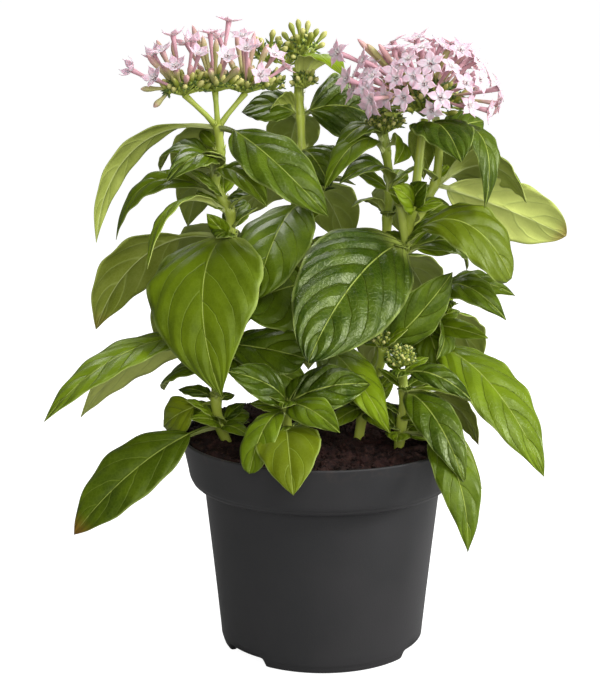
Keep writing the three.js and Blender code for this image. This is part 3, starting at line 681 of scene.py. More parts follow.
leafMake = {
    "sheet": 2.6,       # thickness where the rib is fullest, in millimetres
    "blade": 0.16,      # share of that left in the blade
    "ribWidth": 0.9, "ribTip": 0.10,     # half its width in millimetres, and what is left of it at the tip
    "quilt": 0.030,     # how far the blade swells between its veins, as a share of its half width
    "puff": (0.25, 2.1),                 # what a plain leaf has of that, and what a bold one has on top
    "groove": 0.28, "grooveWidth": 1.1,  # depth and half width of the sunken midrib
    "curl": 0.25,       # how far the margins turn down
    "ripple": 0.022,    # waviness of the margin
    "tipBack": 0.35,    # how far a tip stops short of the plan's
    "veins": 5.7,       # side veins on each side of a long leaf
    "veinSpan": 0.95,   # the share of the length that has them
    "climb": (0.85, 0.75),               # how far a side vein leads towards the tip, first and further out
    "stagger": 0.4,     # how far the veins of one side are ahead of the other side's
    "swell": 1.15,      # how slowly the outline opens from the petiole
    "fullness": 0.66,   # the lower, the fuller the outline
    "grids": ((24, (22, 56)), (13, (16, 40)), (10, (10, 26)), (0, (6, 14))),  # cells above a width
}


def halfWidth(t, plan):
    petiole, widest = plan["petiole"], plan["widest"]
    s = min(max((t - petiole) / (1 - petiole), 0), 1)
    rise = leafMake["swell"]
    fall = rise * (1 - widest) / widest
    peak = (rise / (rise + fall)) ** rise * (fall / (rise + fall)) ** fall
    return (plan["width"] / 2) * ((s ** rise * (1 - s) ** fall) / peak) ** leafMake["fullness"]


def leafRows(root, plan, count):
    # rows across a leaf, each with its share of the length, place, upward and sideways ways and half
    # width, and the leaf's length
    tip = vec(*plan["tip"])
    tip -= (tip - root).normalized() * (leafMake["tipBack"] * mm)
    arch, bow = plan["arch"] * mm, plan["bow"] * mm
    chord = tip - root
    ahead = chord.normalized()
    facing = Vector(plan["facing"])
    rise = (facing - ahead * facing.dot(ahead)).normalized()
    hinge = rise.cross(ahead)
    near = root + chord * 0.28 + rise * (1.3 * arch) + hinge * (1.2 * bow)
    far = root + chord * 0.74 + rise * (0.95 * arch) + hinge * bow
    rows = []
    for k in range(count + 1):
        t = (k / count) ** 0.93
        point, along = bezier(root, near, far, tip, t)
        normal = along.cross(hinge).normalized()
        normal.rotate(Matrix.Rotation(math.radians(plan["twist"]) * t, 3, along))
        rows.append((t, point, normal, along.cross(normal), halfWidth(t, plan)))
    return rows, chord.length / mm


def growLeaf(bm, layers, root, plan, rng):
    make, width, bold = leafMake, plan["width"], plan["bold"]
    across, lengthwise = next(cells for least, cells in make["grids"] if width > least)
    verts = bmesh.ops.create_grid(bm, x_segments=across, y_segments=lengthwise, size=0.5)["verts"]
    rows, length = leafRows(root, plan, lengthwise)
    veins = make["veins"] * min(max(length / 85, 0.6), 1.15)
    slant, (straight, curved) = 0.5 * width / length, make["climb"]
    puff = make["puff"][0] + make["puff"][1] * bold
    phases = rng.random() * 6.3, rng.random() * 6.3
    wave = rng.uniform(2.2, 3.4) * 2 * math.pi
    spots, veinSpots = {}, {}
    for v in verts:
        t, point, normal, sideway, half = rows[round((v.co.y + 0.5) * lengthwise)]
        share = v.co.x * 2
        u = math.copysign(abs(share) ** 1.25, share)
        reach = abs(u)
        own, other = phases if u > 0 else reversed(phases)
        edge = smooth(0, 0.12, t - plan["petiole"] + 0.04) * smooth(0, 0.08, 1 - t)
        half *= 1 + make["ripple"] * 0.7 * math.sin(wave * t + own) * edge
        half = max(half, 0.75 if t < 0.5 else 0.12)
        climb = slant * (straight * reach + curved * reach * reach)
        vein = veins * (t - climb) / make["veinSpan"] + (make["stagger"] if u > 0 else 0) + 20
        swell = 1 - (2 * abs(vein % 1 - 0.5)) ** 2.2
        quilt = make["quilt"] * puff * swell
        quilt *= smooth(0.02, 0.3, reach) * (1 - smooth(0.72, 1, reach)) * edge
        ruffle = math.sin(wave * 1.7 * (t - climb * 0.5) + other) * smooth(0.5, 1, reach) * edge
        lift = half * (plan["fold"] * reach - make["curl"] * reach * reach)
        lift += half * (quilt + make["ripple"] * 2.4 * ruffle)
        lift -= make["groove"] * math.exp(-(reach * half / make["grooveWidth"]) ** 2) * min(half / 5, 1)
        v.co = point + sideway * (u * half * mm) + normal * (lift * mm)
        spots[v] = (u * 0.5 + 0.5, t)
        veinSpots[v] = (vein, reach * half / 12)
        rib = math.exp(-(reach * half / make["ribWidth"]) ** 2) * (0.5 + 0.5 * min(width / 24, 1))
        rib *= lerp(1.0, make["ribTip"], smooth(0, 0.95, t) ** 0.6)
        v[layers["deform"]][0] = max(make["blade"] * min(1, half / 2 + 0.45), rib)
        v[layers["tone"]] = (plan["tone"], plan["age"], plan["scorch"], bold)
    setUv(verts, layers["blade"], spots)
    setUv(verts, layers["veins"], veinSpots)
    paint(verts, 0)


# the young leaves of a joint: width and arch are shares of their length, and joints the heights that
# have some
tuftMake = {
    "length": (10, 22), "width": 0.6, "lean": 0.9, "arch": 0.16, "rise": (0.1, 0.9), "joints": (100, 225),
}


def growTuft(bm, layers, line, height, rng):
    # the two or three young leaves in the axils of a joint
    root, _ = atHeight(line, height)
    turn = rng.random() * 2 * math.pi
    count = rng.choice((2, 3))
    for k in range(count):
        length = rng.uniform(*tuftMake["length"])
        out = roundAbout(up, turn + k * 2 * math.pi / count)
        tip = root / mm + (out + up * rng.uniform(*tuftMake["rise"])) * length
        facing = out * -0.3 + up + Vector((0, -rng.random() * tuftMake["lean"], 0))
        plan = blade(height, tip, tuftMake["arch"] * length, tuftMake["width"] * length, facing,
                     tone=rng.uniform(0.1, 0.75), bold=rng.uniform(0.1, 0.6), petiole=0.15)
        growLeaf(bm, layers, root, plan, rng)


def newSurface():
    bm = bmesh.new()
    layers = {
        "blade": bm.loops.layers.uv.new("blade"),
        "veins": bm.loops.layers.uv.new("veins"),
        "deform": bm.verts.layers.deform.verify(),
        "tone": bm.verts.layers.float_color.new("tone"),
    }
    return bm, layers


def leafPiece(name, stemNames, node, seed):
    # every leaf of one node, as surfaces that a modifier thickens
    rng = random.Random(seed)
    bm, layers = newSurface()
    for stemName in stemNames:
        line = stemLine(stemName)
        for plan in leafPlan[stemName]:
            root, _ = atHeight(line, plan["height"])
            growLeaf(bm, layers, root, plan, rng)
        low, high = tuftMake["joints"]
        for height in jointHeights(stemName):
            if low < height < high:
                growTuft(bm, layers, line, height, rng)
    piece = pieceFrom(bm, name, [leafTop, leafUnder], node)
    piece.vertex_groups.new(name="thickness")
    shell = piece.modifiers.new("thickness", "SOLIDIFY")
    shell.thickness = leafMake["sheet"] * mm
    shell.offset = -1
    shell.vertex_group = "thickness"
    shell.material_offset = 1
    shell.material_offset_rim = 1
    shell.use_quality_normals = False


# stems

# joint is how far a stem swells at a joint, and hairs how many it has on each millimetre
stemMake = {
    "radius": 2.35, "taper": 0.55, "joint": 0.55, "jointWidth": 2.2, "sides": 14, "step": 2.2,
    "hairs": 8, "hairLength": 0.9, "hairRadius": 0.055, "hairDepth": 0.12, "hairsAbove": 100,
    "stipules": 7, "stipuleRadii": (0.34, 0.22, 0.06), "stipuleOut": (0.8, 1.6), "stipuleUp": (1.6, 3.4),
}


def along(points, t):
    # the point at t on a line and the way the line runs there
    aim = throughPoints(points, t + 0.01) - throughPoints(points, t - 0.01)
    return throughPoints(points, t), aim.normalized()


def growStem(bm, hairs, name, rng):
    line = stemLine(name)
    length = sum((b - a).length for a, b in zip(line, line[1:])) / mm
    rows = max(6, int(length / stemMake["step"]))
    heights = jointHeights(name)
    points, radii = [], []
    for k in range(rows + 1):
        t = k / rows
        points.append(throughPoints(line, t))
        off = min(abs(points[-1].z / mm - height) for height in heights) / stemMake["jointWidth"]
        swell = math.exp(-off ** 2)
        radii.append((stemMake["radius"] - stemMake["taper"] * t + stemMake["joint"] * swell) * mm)
    tube(bm, points, radii, stemMake["sides"], 0, 0.15)
    for height in heights:
        growStipules(bm, line, atHeight(line, height)[1], rng)
    growMany(hairs, int(length * stemMake["hairs"]), lambda part: growHair(part, line, rng))


def growHair(bm, line, rng):
    t = rng.random()
    at, aim = along(line, t)
    out = roundAbout(aim, rng.random() * 2 * math.pi)
    foot = at + out * ((stemMake["radius"] - stemMake["taper"] * t - stemMake["hairDepth"]) * mm)
    if at.z < stemMake["hairsAbove"] * mm:
        return
    aim = out + aim * rng.uniform(-0.3, 0.5)
    size = stemMake["hairLength"] * rng.uniform(0.6, 1.3) * mm
    turn = aim.normalized().to_track_quat("Z", "Y").to_matrix().to_4x4()
    place = Matrix.Translation(foot + aim.normalized() * (size / 2)) @ turn
    bmesh.ops.create_cone(bm, cap_ends=True, segments=3, radius1=stemMake["hairRadius"] * mm, radius2=0,
                          depth=size, matrix=place)


def growStipules(bm, line, t, rng):
    # the fringe of bristles between the petioles at a joint
    part = newPart()
    at, aim = along(line, t)
    girths = [radius * mm for radius in stemMake["stipuleRadii"]]
    for k in range(stemMake["stipules"]):
        out = roundAbout(aim, k / stemMake["stipules"] * 2 * math.pi + rng.random())
        foot = at + out * (2.0 * mm)
        tip = foot + out * (rng.uniform(*stemMake["stipuleOut"]) * mm)
        tip += aim * (rng.uniform(*stemMake["stipuleUp"]) * mm)
        middle = (foot + tip) / 2 + out * (0.4 * mm)
        tube(part, [foot - out * mm, middle, tip], girths, 5, 0, 0.9)
    pour(part, bm)


# buds, calyces and florets

def bendy(foot, tip, aim, rows):
    # points from foot to tip, arriving at the tip along aim
    start = foot + (tip - foot) * 0.3
    end = tip - aim * ((tip - foot).length * 0.45)
    return [bezier(foot, start, end, tip, k / rows)[0] for k in range(rows + 1)]


budShapes = {
    # how far along, and how thick there
    "oval": ((0, 0.45), (0.15, 0.75), (0.4, 1), (0.65, 1), (0.85, 0.72), (0.96, 0.38), (1, 0.06)),
    "long": ((0, 0.5), (0.12, 0.52), (0.3, 0.56), (0.5, 0.7), (0.66, 1.0), (0.78, 1.08), (0.88, 0.88),
             (0.96, 0.45), (1, 0.08)),
}


def budLine(shape, foot, tip, thick):
    # the points along a bud, and its radius at each
    spots, girths = zip(*budShapes[shape])
    return [foot.lerp(tip, s) for s in spots], [thick * girth * mm for girth in girths]


calyxMake = {
    "below": 1.1, "above": 1.3, "cupRadii": (0.7, 1.15, 1.05),
    "lobe": (1.4, 3.2), "lobeRadii": (0.40, 0.42), "lobeTip": 0.07,
}


def growCalyx(bm, foot, aim, rng, size=1.0, lobes=5):
    # the small green cup under a floret, with its narrow lobes spread round the tube
    scale = size * mm
    cup = [foot - aim * (calyxMake["below"] * scale), foot, foot + aim * (calyxMake["above"] * scale)]
    tube(bm, cup, [radius * scale for radius in calyxMake["cupRadii"]], 7, 0, 0.3)
    lobeRadii = [radius * scale for radius in calyxMake["lobeRadii"]] + [calyxMake["lobeTip"] * mm]
    for k in range(lobes):
        out = roundAbout(aim, (k + 0.3 * rng.random()) / lobes * 2 * math.pi)
        start = foot + (out * 0.8 + aim) * scale
        end = start + (out * 0.75 + aim * 0.65) * (rng.uniform(*calyxMake["lobe"]) * scale)
        middle = start.lerp(end, 0.5) + out * (0.3 * scale)
        tube(bm, [start, middle, end], lobeRadii, 4, 2, 0.7)


floretMake = {
    "reach": 6.5,       # from the middle of a star to the tip of a petal, in millimetres
    "mouth": 0.8,       # from there to the petal's foot
    "petal": 1.8,       # half the width of a petal
    "foot": 0.40,       # what is left of that at its foot
    "arch": 0.5, "droop": 0.8, "sink": 0.15, "cup": 0.28, "crease": 0.12, "skin": 0.22,
    "hairs": 9, "hairCircle": 0.75, "hairRadii": (0.16, 0.03),
    "tube": (0.46, 0.46, 0.48, 0.52, 0.58, 0.68, 0.90, 1.25),
}


def growPetal(bm, star, out, facing, reach, half, droop, tilt):
    make, width = floretMake, out.cross(facing)
    uvLayer = bm.loops.layers.uv.verify()
    verts = bmesh.ops.create_grid(bm, x_segments=4, y_segments=7, size=0.5)["verts"]
    where = {}
    for v in verts:
        u, s = v.co.x * 2, v.co.y + 0.5
        shape = lerp(make["foot"], 1, math.sin(math.pi * min(s / 0.92, 1)) ** 0.8)
        side = max(half * shape * (1 - smooth(0.38, 1.02, s) ** 1.1), 0.05)
        radial = lerp(make["mouth"], reach, s)
        lift = make["arch"] * math.sin(math.pi * 0.5 * s) - droop * s ** 2.4 - make["sink"]
        lift += radial * math.sin(tilt * s)
        lift += make["cup"] * u * u * side * (1 - 0.6 * s) - make["crease"] * (1 - abs(u))
        v.co = star + (out * (radial * math.cos(tilt * s)) - width * (u * side) + facing * lift) * mm
        where[v] = (u * 0.5 + 0.5, s)
    setUv(verts, uvLayer, where)
    paint(verts, 0)


def growFloret(bm, foot, star, facing, rng, size, open):
    # five petals round the mouth of a slender tube; open is 1 for a flat star
    part, make = newPart(), floretMake
    girths = [r * size * mm for r in make["tube"]]
    openTube(part, bendy(foot, star, facing, len(girths) - 1), girths, 9, 1, rng.random())
    spin = rng.random() * 6
    for k in range(5):
        out = roundAbout(facing, spin + k * 2 * math.pi / 5 + rng.uniform(-0.08, 0.08))
        reach = make["reach"] * size * rng.uniform(0.9, 1.06)
        droop = make["droop"] * rng.uniform(0.1, 1.5)
        tilt = (1 - open) * 1.1 + rng.uniform(-0.12, 0.12)
        growPetal(part, star, out, facing, reach, make["petal"] * size, droop, tilt)
    for k in range(make["hairs"]):
        out = roundAbout(facing, k / make["hairs"] * 2 * math.pi + rng.random())
        root = star + out * (make["hairCircle"] * size * mm) - facing * (0.2 * mm)
        end = root + (facing * rng.uniform(0.7, 1.3) + out * rng.uniform(-0.5, 0.5)) * mm
        openTube(part, [root, end], [radius * mm for radius in make["hairRadii"]], 3, 2, 0.5)
    pour(part, bm)


def growPinkBud(bm, foot, tip, rng):
    part = newPart()
    openTube(part, *budLine("long", foot, tip, 1.2), 8, 3, rng.random())
    pour(part, bm)


def growBudSpray(bm, foot, tip, rng, size=1.0, long=(3.0, 6.5), shape="oval", thick=1.1):
    # a short stalk with one calyx and its green bud
    part = newPart()
    aim = (tip - foot).normalized()
    girths = [girth * size * mm for girth in (0.55, 0.45, 0.5)]
    tube(part, [foot, foot.lerp(tip, 0.5), tip], girths, 5, 0, 0.35)
    growCalyx(part, tip, (aim + up * 0.25).normalized(), rng, 0.9 * size, 4)
    end = tip + (aim + up * 0.3).normalized() * (rng.uniform(*long) * mm)
    tube(part, *budLine(shape, tip, end, thick * size), 7, 1, rng.random())
    pour(part, bm)


def scattered(way, rng, reach, rise=None):
    # a direction turned a little at random
    x, y = rng.uniform(-reach, reach), rng.uniform(-reach, reach)
    return (way + Vector((x, y, rng.uniform(*rise) if rise else 0))).normalized()


def growCluster(bm, centre, radius, count, rng, **more):
    # a bunch of small buds on short stalks, as young flower heads have
    middle = vec(*centre)
    for way in capDirections(count, 100):
        way = scattered(way, rng, 0.2, (-0.1, 0.2))
        tip = middle + way * (radius * rng.uniform(0.7, 1.05) * mm)
        growBudSpray(bm, middle - up * (0.4 * radius * mm), tip, rng, **more)


def spread(way, width, depth, height, rise=0):
    # how far out a direction leads in a head that is wider than it is tall
    return Vector((way.x * width, way.y * depth, rise + height * way.z)) * mm


def growStalk(bm, points, girths, sides, star, rng, size):
    # a floret's own stalk, with the calyx at its end turned to the star
    part = newPart()
    tube(part, points, [girth * mm for girth in girths], sides, 0, 0.3)
    growCalyx(part, points[-1], (star - points[-1]).normalized(), rng, size)
    pour(part, bm)


# flower heads: stars and buds are the places of single florets, the fill is spread evenly between them

leftHead = {
    "node": (-46, -16, 242), "rays": [(-60, -22, 256), (-47, -17, 257), (-34, -11, 256)],
    "stars": [(-82, -28, 267), (-65, -15, 281), (-69, -25, 275), (-63, -33, 269), (-53, -31, 274),
              (-49, -15, 282), (-41, -11, 287), (-35, -19, 281), (-41, -33, 273), (-27, -31, 265),
              (-21, -20, 273), (-74, -8, 272), (-60, -1, 277), (-46, 3, 279), (-31, 3, 275), (-17, -6, 267),
              (-56, -24, 279), (-33, -27, 276), (-72, -33, 264)],
    "buds": [(-76, -20, 273), (-57, -8, 285), (-30, -9, 282), (-72, -16, 279), (-52, -22, 281),
             (-46, -24, 280), (-66, -6, 278), (-38, -4, 282), (-24, -12, 277), (-78, -30, 259),
             (-73, -26, 251), (-48, -34, 267), (-36, -34, 268), (-58, -36, 265)],
    "size": 0.96, "rayGirths": (1.5, 1.2, 1.15, 1.5), "stalks": (7, 6, 2.5, 2.5),
    "open": (0.2, 0.8), "nod": (0, -0.15, 0.15),
    "shortBuds": 7, "shortCap": 60, "shortReach": (15, 14, 9, 6),
    "greenBuds": 30, "greenCap": 105, "greenReach": (9, 8, 3.5, 3.0),
}
rightHead = {
    "centre": (45, 4, 249), "radii": (34, 29, 30), "fill": 96, "fillCap": 96, "apart": 7.9,
    "stars": [(20, -26, 254), (34, -28, 255), (43, -28, 261), (50, -27, 255), (31, -23, 263),
              (21, -20, 264), (46, -20, 269), (55, -18, 268), (61, -22, 261), (68, -17, 262),
              (77, -9, 258), (41, 0, 279), (31, -6, 275), (17, -11, 270), (10, -10, 262), (6, -6, 273),
              (68, -4, 270)],
    "buds": [(19, -8, 277), (15, -6, 279), (24, -10, 277), (55, -8, 276), (63, -6, 275)],
    "size": 1.06, "open": (0.75, 1.0), "outward": 0.45, "stalks": (13, 12, 7, 3),
    "greenBuds": 34, "greenCap": 108, "greenReach": (18, 16, 10),
}


def dressLeftHead(green, pink):
    rng = random.Random(21)
    ends = [vec(*p) for p in leftHead["rays"]]
    node = vec(*leftHead["node"])
    for end in ends:
        line = [node - up * mm, node.lerp(end, 0.35), node.lerp(end, 0.7), end]
        tube(green, line, [girth * mm for girth in leftHead["rayGirths"]], 9, 0, 0.25)

    def base(spot):
        # a stalk from the nearest ray's top to the foot of a floret
        end = min(ends, key=lambda end: (end - spot).length)
        way = (spot - end).normalized()
        foot = end + spread(way, *leftHead["stalks"])
        line = [end, end.lerp(foot, 0.5) + way * (0.4 * mm), foot]
        growStalk(green, line, (0.75, 0.6, 0.65), 6, spot, rng, 1.1)
        return foot

    for spot in leftHead["stars"]:
        star = vec(*spot)
        foot = base(star)
        facing = ((star - foot).normalized() + Vector(leftHead["nod"])).normalized()
        growFloret(pink, foot, star, facing, rng, leftHead["size"], rng.uniform(*leftHead["open"]))
    for spot in leftHead["buds"]:
        tip = vec(*spot)
        growPinkBud(pink, base(tip), tip, rng)
    for end in ends:
        for way in capDirections(leftHead["shortBuds"], leftHead["shortCap"]):
            way = scattered(way, rng, 0.3)
            tip = end + spread(way, *leftHead["shortReach"]) * rng.uniform(0.75, 1.1)
            growPinkBud(pink, base(tip), tip, rng)
    for end in ends:
        for way in capDirections(leftHead["greenBuds"], leftHead["greenCap"]):
            way = scattered(way, rng, 0.2)
            tip = end + spread(way, *leftHead["greenReach"]) * rng.uniform(0.7, 1.1)
            growBudSpray(green, end, tip, rng, thick=1.15)


def dressRightHead(green, pink):
    rng = random.Random(31)
    middle = vec(*rightHead["centre"])
    radii = Vector(rightHead["radii"])
    spots = [vec(*p) for p in rightHead["stars"]]
    for way in capDirections(rightHead["fill"], rightHead["fillCap"]):
        spot = middle + spread(way, *radii, 2) * rng.uniform(0.9, 1.0)
        if all((spot - other).length > rightHead["apart"] * mm for other in spots):
            spots.append(spot)
    core = middle - up * (4 * mm)
    for star in spots:
        off = star - middle
        way = Vector((off.x / radii.x, off.y / radii.y, off.z / radii.z)).normalized()
        foot = middle + spread(way, *rightHead["stalks"])
        growStalk(green, [core, core.lerp(foot, 0.5), foot], (0.9, 0.7, 0.7), 5, star, rng, 1.2)
        wild = Vector((rng.uniform(-0.35, 0.35), rng.uniform(-0.35, 0.25), rng.uniform(-0.3, 0.3)))
        facing = ((star - foot).normalized().lerp(way, rightHead["outward"]) + wild).normalized()
        size = rightHead["size"] * rng.uniform(0.9, 1.06)
        growFloret(pink, foot, star, facing, rng, size, rng.uniform(*rightHead["open"]))
    for spot in rightHead["buds"]:
        tip = vec(*spot)
        growPinkBud(pink, middle.lerp(tip, 0.45), tip, rng)
    for way in capDirections(rightHead["greenBuds"], rightHead["greenCap"]):
        tip = middle + spread(way, *rightHead["greenReach"])
        growBudSpray(green, middle, tip, rng, long=(4, 8), thick=1.2)
    print("right head:", len(spots), "florets")


# building the plant

# the leaves, stems and hairs of one node each
stemPieces = {
    "Left": (["left"], "stem-left"),
    "Rear": (["rear"], "stem-rear"),
    "Right": (["right", "rightInner", "rightOuter", "rightShoot"], "stem-right"),
    "BackRight": (["backRight"], "stem-back-right"),
    "FrontRight": (["frontRight"], "stem-front-right"),
    "SideShoot": (["sideShoot"], "shoot-right"),
    "FrontShoot": (["frontShoot"], "shoot-front"),
}
headPieces = {"Left": ("florets-left", dressLeftHead), "Right": ("florets-right", dressRightHead)}
clusters = {
    # centre, radius, how many, and the size of each bud
    "rear": [
        {"centre": (-16, 42, 267), "radius": 6, "count": 14, "size": 1.15, "long": (3, 8), "shape": "long"},
        {"centre": (-9, 40, 272), "radius": 6, "count": 14, "size": 1.2, "long": (3, 10), "shape": "long"},
        {"centre": (-25, 38, 269), "radius": 6, "count": 14, "size": 1.15, "long": (3, 9), "shape": "long"},
        {"centre": (-23, 34, 256), "radius": 5, "count": 14, "size": 1.0, "long": (2, 5)},
        {"centre": (-8, 34, 257), "radius": 5, "count": 14, "size": 1.0, "long": (2, 5)},
    ],
    "right": [{"centre": (26, -15, 146), "radius": 5, "count": 24, "size": 0.8, "long": (1.2, 2.4)}],
    "backRight": [{"centre": (28, 14, 239), "radius": 8, "count": 60, "size": 0.95, "long": (1.6, 3.2)}],
    "frontRight": [{"centre": (35, -20, 138), "radius": 6.5, "count": 44, "size": 0.8, "long": (1.2, 2.6)}],
    "sideShoot": [{"centre": (53, 22, 159), "radius": 5, "count": 24, "size": 0.8, "long": (1.2, 2.4)}],
}
cutStubs = {"radius": 2.1, "ends": [((38, 7, 186), (35, 0, 205)), ((38, 8, 186), (39, 6, 204))]}


def stemPiece(name, stemNames, seed):
    rng = random.Random(seed)
    green, hairs = newPart(), newPart()
    for stemName in stemNames:
        growStem(green, hairs, stemName, rng)
        for cluster in clusters.get(stemName, []):
            growCluster(green, rng=rng, **cluster)
    if name == "Right":
        for foot, top in cutStubs["ends"]:
            ends = [vec(*foot).lerp(vec(*top), k / 6) for k in range(7)]
            tube(green, ends, [cutStubs["radius"] * mm] * 7, 12, 0, 0.4)
    if name in headPieces:
        node, dress = headPieces[name]
        pink = newPart()
        dress(green, pink)
        skins = [petalSkin, tubeSkin, throatSkin, pinkBudSkin]
        head = pieceFrom(pink, "florets" + name, skins, node)
        shell = head.modifiers.new("thickness", "SOLIDIFY")
        shell.thickness = floretMake["skin"] * mm
        shell.offset = 0
    pieceFrom(green, "stem" + name, [stemSkin, budSkin, calyxSkin])
    pieceFrom(hairs, "stem" + name + "Hairs", [hairSkin])


print("leaves")
for seed, (name, (stemNames, node)) in enumerate(stemPieces.items()):
    leafPiece("leaves" + name, stemNames, node, 100 + seed)

print("stems and flower heads")
for seed, (name, (stemNames, _)) in enumerate(stemPieces.items()):
    stemPiece(name, stemNames, 200 + seed)


# pot and soil

potMake = {
    "height": 100, "rim": 65,
    "band": 77,                      # height of the rim band's foot
    "floor": (5.0, 6.8),             # heights of the floor's two faces
    "holes": 6, "holeCircle": 30, "hole": 4, "holeSides": 32,
    "notches": (-51, 69, 189), "notchWidth": 30,   # in degrees from the front
    "steps": 180,
}


def potProfile():
    # radius and height from the floor's underside, out and up to the rim, then down inside
    top, rim, z = potMake["height"], potMake["rim"], potMake["band"]
    under, floor = potMake["floor"]
    foot = [
        (38, under), (42.0, 4.6), (42.5, 3.6), (42.6, 0.5), (43.0, 0.0), (44.6, 0.0), (45.4, 0.35),
        (45.9, 1.1), (46.3, 2.2), (46.45, 3.2), (46.7, 3.5), (47.0, 4.6), (47.4, 9.0),
    ]
    side = [(49.0, 25.0), (51.2, 46.0), (53.6, 68.0), (54.3, z - 2.2), (54.6, z - 0.8), (55.0, z - 0.1)]
    band = [
        (56.2, z + 0.1), (57.6, z + 0.35), (58.9, z + 1.0), (59.9, z + 1.9), (60.3, z + 2.7),
        (60.35, z + 3.1), (60.7, z + 3.4), (61.1, z + 4.4), (61.45, z + 5.8), (61.8, z + 8.0), (63.3, z + 15),
    ]
    lip = [
        (rim - 0.6, top - 3.0), (rim - 0.3, top - 1.4), (rim - 0.05, top - 0.7), (rim - 0.1, top - 0.2),
        (rim - 0.5, top), (rim - 1.1, top - 0.05), (rim - 1.7, top - 0.5), (rim - 1.9, top - 1.4),
    ]
    inside = [
        (62.6, 95), (61.7, 91), (60.0, z + 7), (59.2, z + 4.5), (57.5, z + 2.5), (54.5, z + 1.6),
        (53.2, z + 0.2), (52.6, z - 2), (51.8, 68), (49.4, 46), (47.2, 25), (45.5, 9), (45.0, 7.3),
        (43.5, floor), (38, floor),
    ]
    return foot + side + band + lip + inside


def cutFloor(bm):
    # the floor's two faces, with its drainage holes through both
    circle, radius, sides = potMake["holeCircle"], potMake["hole"] * mm, potMake["holeSides"]
    rings = []
    for height in potMake["floor"]:
        edges = [e for e in bm.edges if len(e.link_faces) == 1 and abs(e.verts[0].co.z - height * mm) < 1e-5]
        circles = []
        for k in range(potMake["holes"]):
            turn = k / potMake["holes"] * 2 * math.pi
            place = Matrix.Translation(vec(circle * math.cos(turn), circle * math.sin(turn), height))
            made = bmesh.ops.create_circle(bm, segments=sides, radius=radius, matrix=place)
            circles.append(list({e for v in made["verts"] for e in v.link_edges}))
        rings.append(circles)
        bmesh.ops.triangle_fill(bm, edges=edges + [e for hole in circles for e in hole], use_beauty=True)
    for low, high in zip(*rings):
        bmesh.ops.bridge_loops(bm, edges=low + high)


def cutNotches(bm):
    # lifts the foot ring where water runs out
    half = potMake["notchWidth"] / 2
    for v in bm.verts:
        height, r = v.co.z / mm, math.hypot(v.co.x, v.co.y) / mm
        if height > 4.8 or r < 41.5:
            continue
        angle = math.degrees(math.atan2(v.co.y, v.co.x)) + 90
        for centre in potMake["notches"]:
            off = abs((angle - centre + 180) % 360 - 180)
            lifted = 1 - smooth(half - 1.2, half + 2.4, off)
            roof = (4.55 - 0.25 * (46 - min(r, 46)) / 4) * mm
            v.co.z = max(v.co.z, lerp(v.co.z, roof, lifted))


def buildPot():
    bm = bmesh.new()
    profile = [bm.verts.new(vec(r, 0, z)) for r, z in potProfile()]
    edges = [bm.edges.new(pair) for pair in zip(profile, profile[1:])]
    bmesh.ops.spin(bm, geom=profile + edges, cent=(0, 0, 0), axis=(0, 0, 1), dvec=(0, 0, 0),
                   angle=2 * math.pi, steps=potMake["steps"], use_merge=True, use_duplicate=False)
    bmesh.ops.remove_doubles(bm, verts=bm.verts, dist=1e-6)
    cutFloor(bm)
    cutNotches(bm)
    bmesh.ops.recalc_face_normals(bm, faces=bm.faces)
    for face in bm.faces:
        middle = face.calc_center_median() / mm
        face.smooth = math.hypot(middle.x, middle.y) > 37.5
    pieceFrom(bm, "potShell", [potSkin], "pot")


soilMake = {
    "height": 98.2, "heap": {"centre": (-34, 22), "height": 5, "spread": 900}, "lumps": (0.8, 0.6),
    "radius": 61.6, "grid": 150, "crumbly": (0.75, 0.3),
    "walls": ((60.9, 95), (58.9, 83.2), (52.2, 77.4), (45.0, 7.2)),   # radius and height, from the top down
    "seed": 7, "crumbs": 1500, "crumbCircle": 60.5, "crumbSize": (0.5, 1.3),
    "fibres": 90, "fibreCircle": 58, "fibreEdge": 60, "fibreLength": (2, 6),
    "fibreRadii": (0.14, 0.17, 0.14, 0.08),
}


def soilHeight(x, y):
    heap = soilMake["heap"]
    away = (x - heap["centre"][0]) ** 2 + (y - heap["centre"][1]) ** 2
    large, small = soilMake["lumps"]
    lumps = large * math.sin(0.31 * x + 1) * math.cos(0.27 * y) + small * math.sin(0.013 * x * y + 0.2 * y)
    return soilMake["height"] + heap["height"] * math.exp(-away / heap["spread"]) + lumps


def rough(x, y, seed=0):
    # uneven crumbly relief, from a few crossed waves
    return (
        math.sin(1.7 * x + 0.9 * y + seed) * math.cos(1.3 * y - 0.7 * x)
        + 0.6 * math.sin(3.1 * x - 1.9 * y + 2 * seed) * math.cos(2.7 * y + 1.1 * x)
        + 0.35 * math.sin(6.3 * x + 4.1 * y) * math.cos(5.9 * y - 3.7 * x + seed)
    )


def inCircle(rng, radius):
    # a random place on a disc
    r, turn = radius * math.sqrt(rng.random()), rng.random() * 2 * math.pi
    return r * math.cos(turn), r * math.sin(turn)


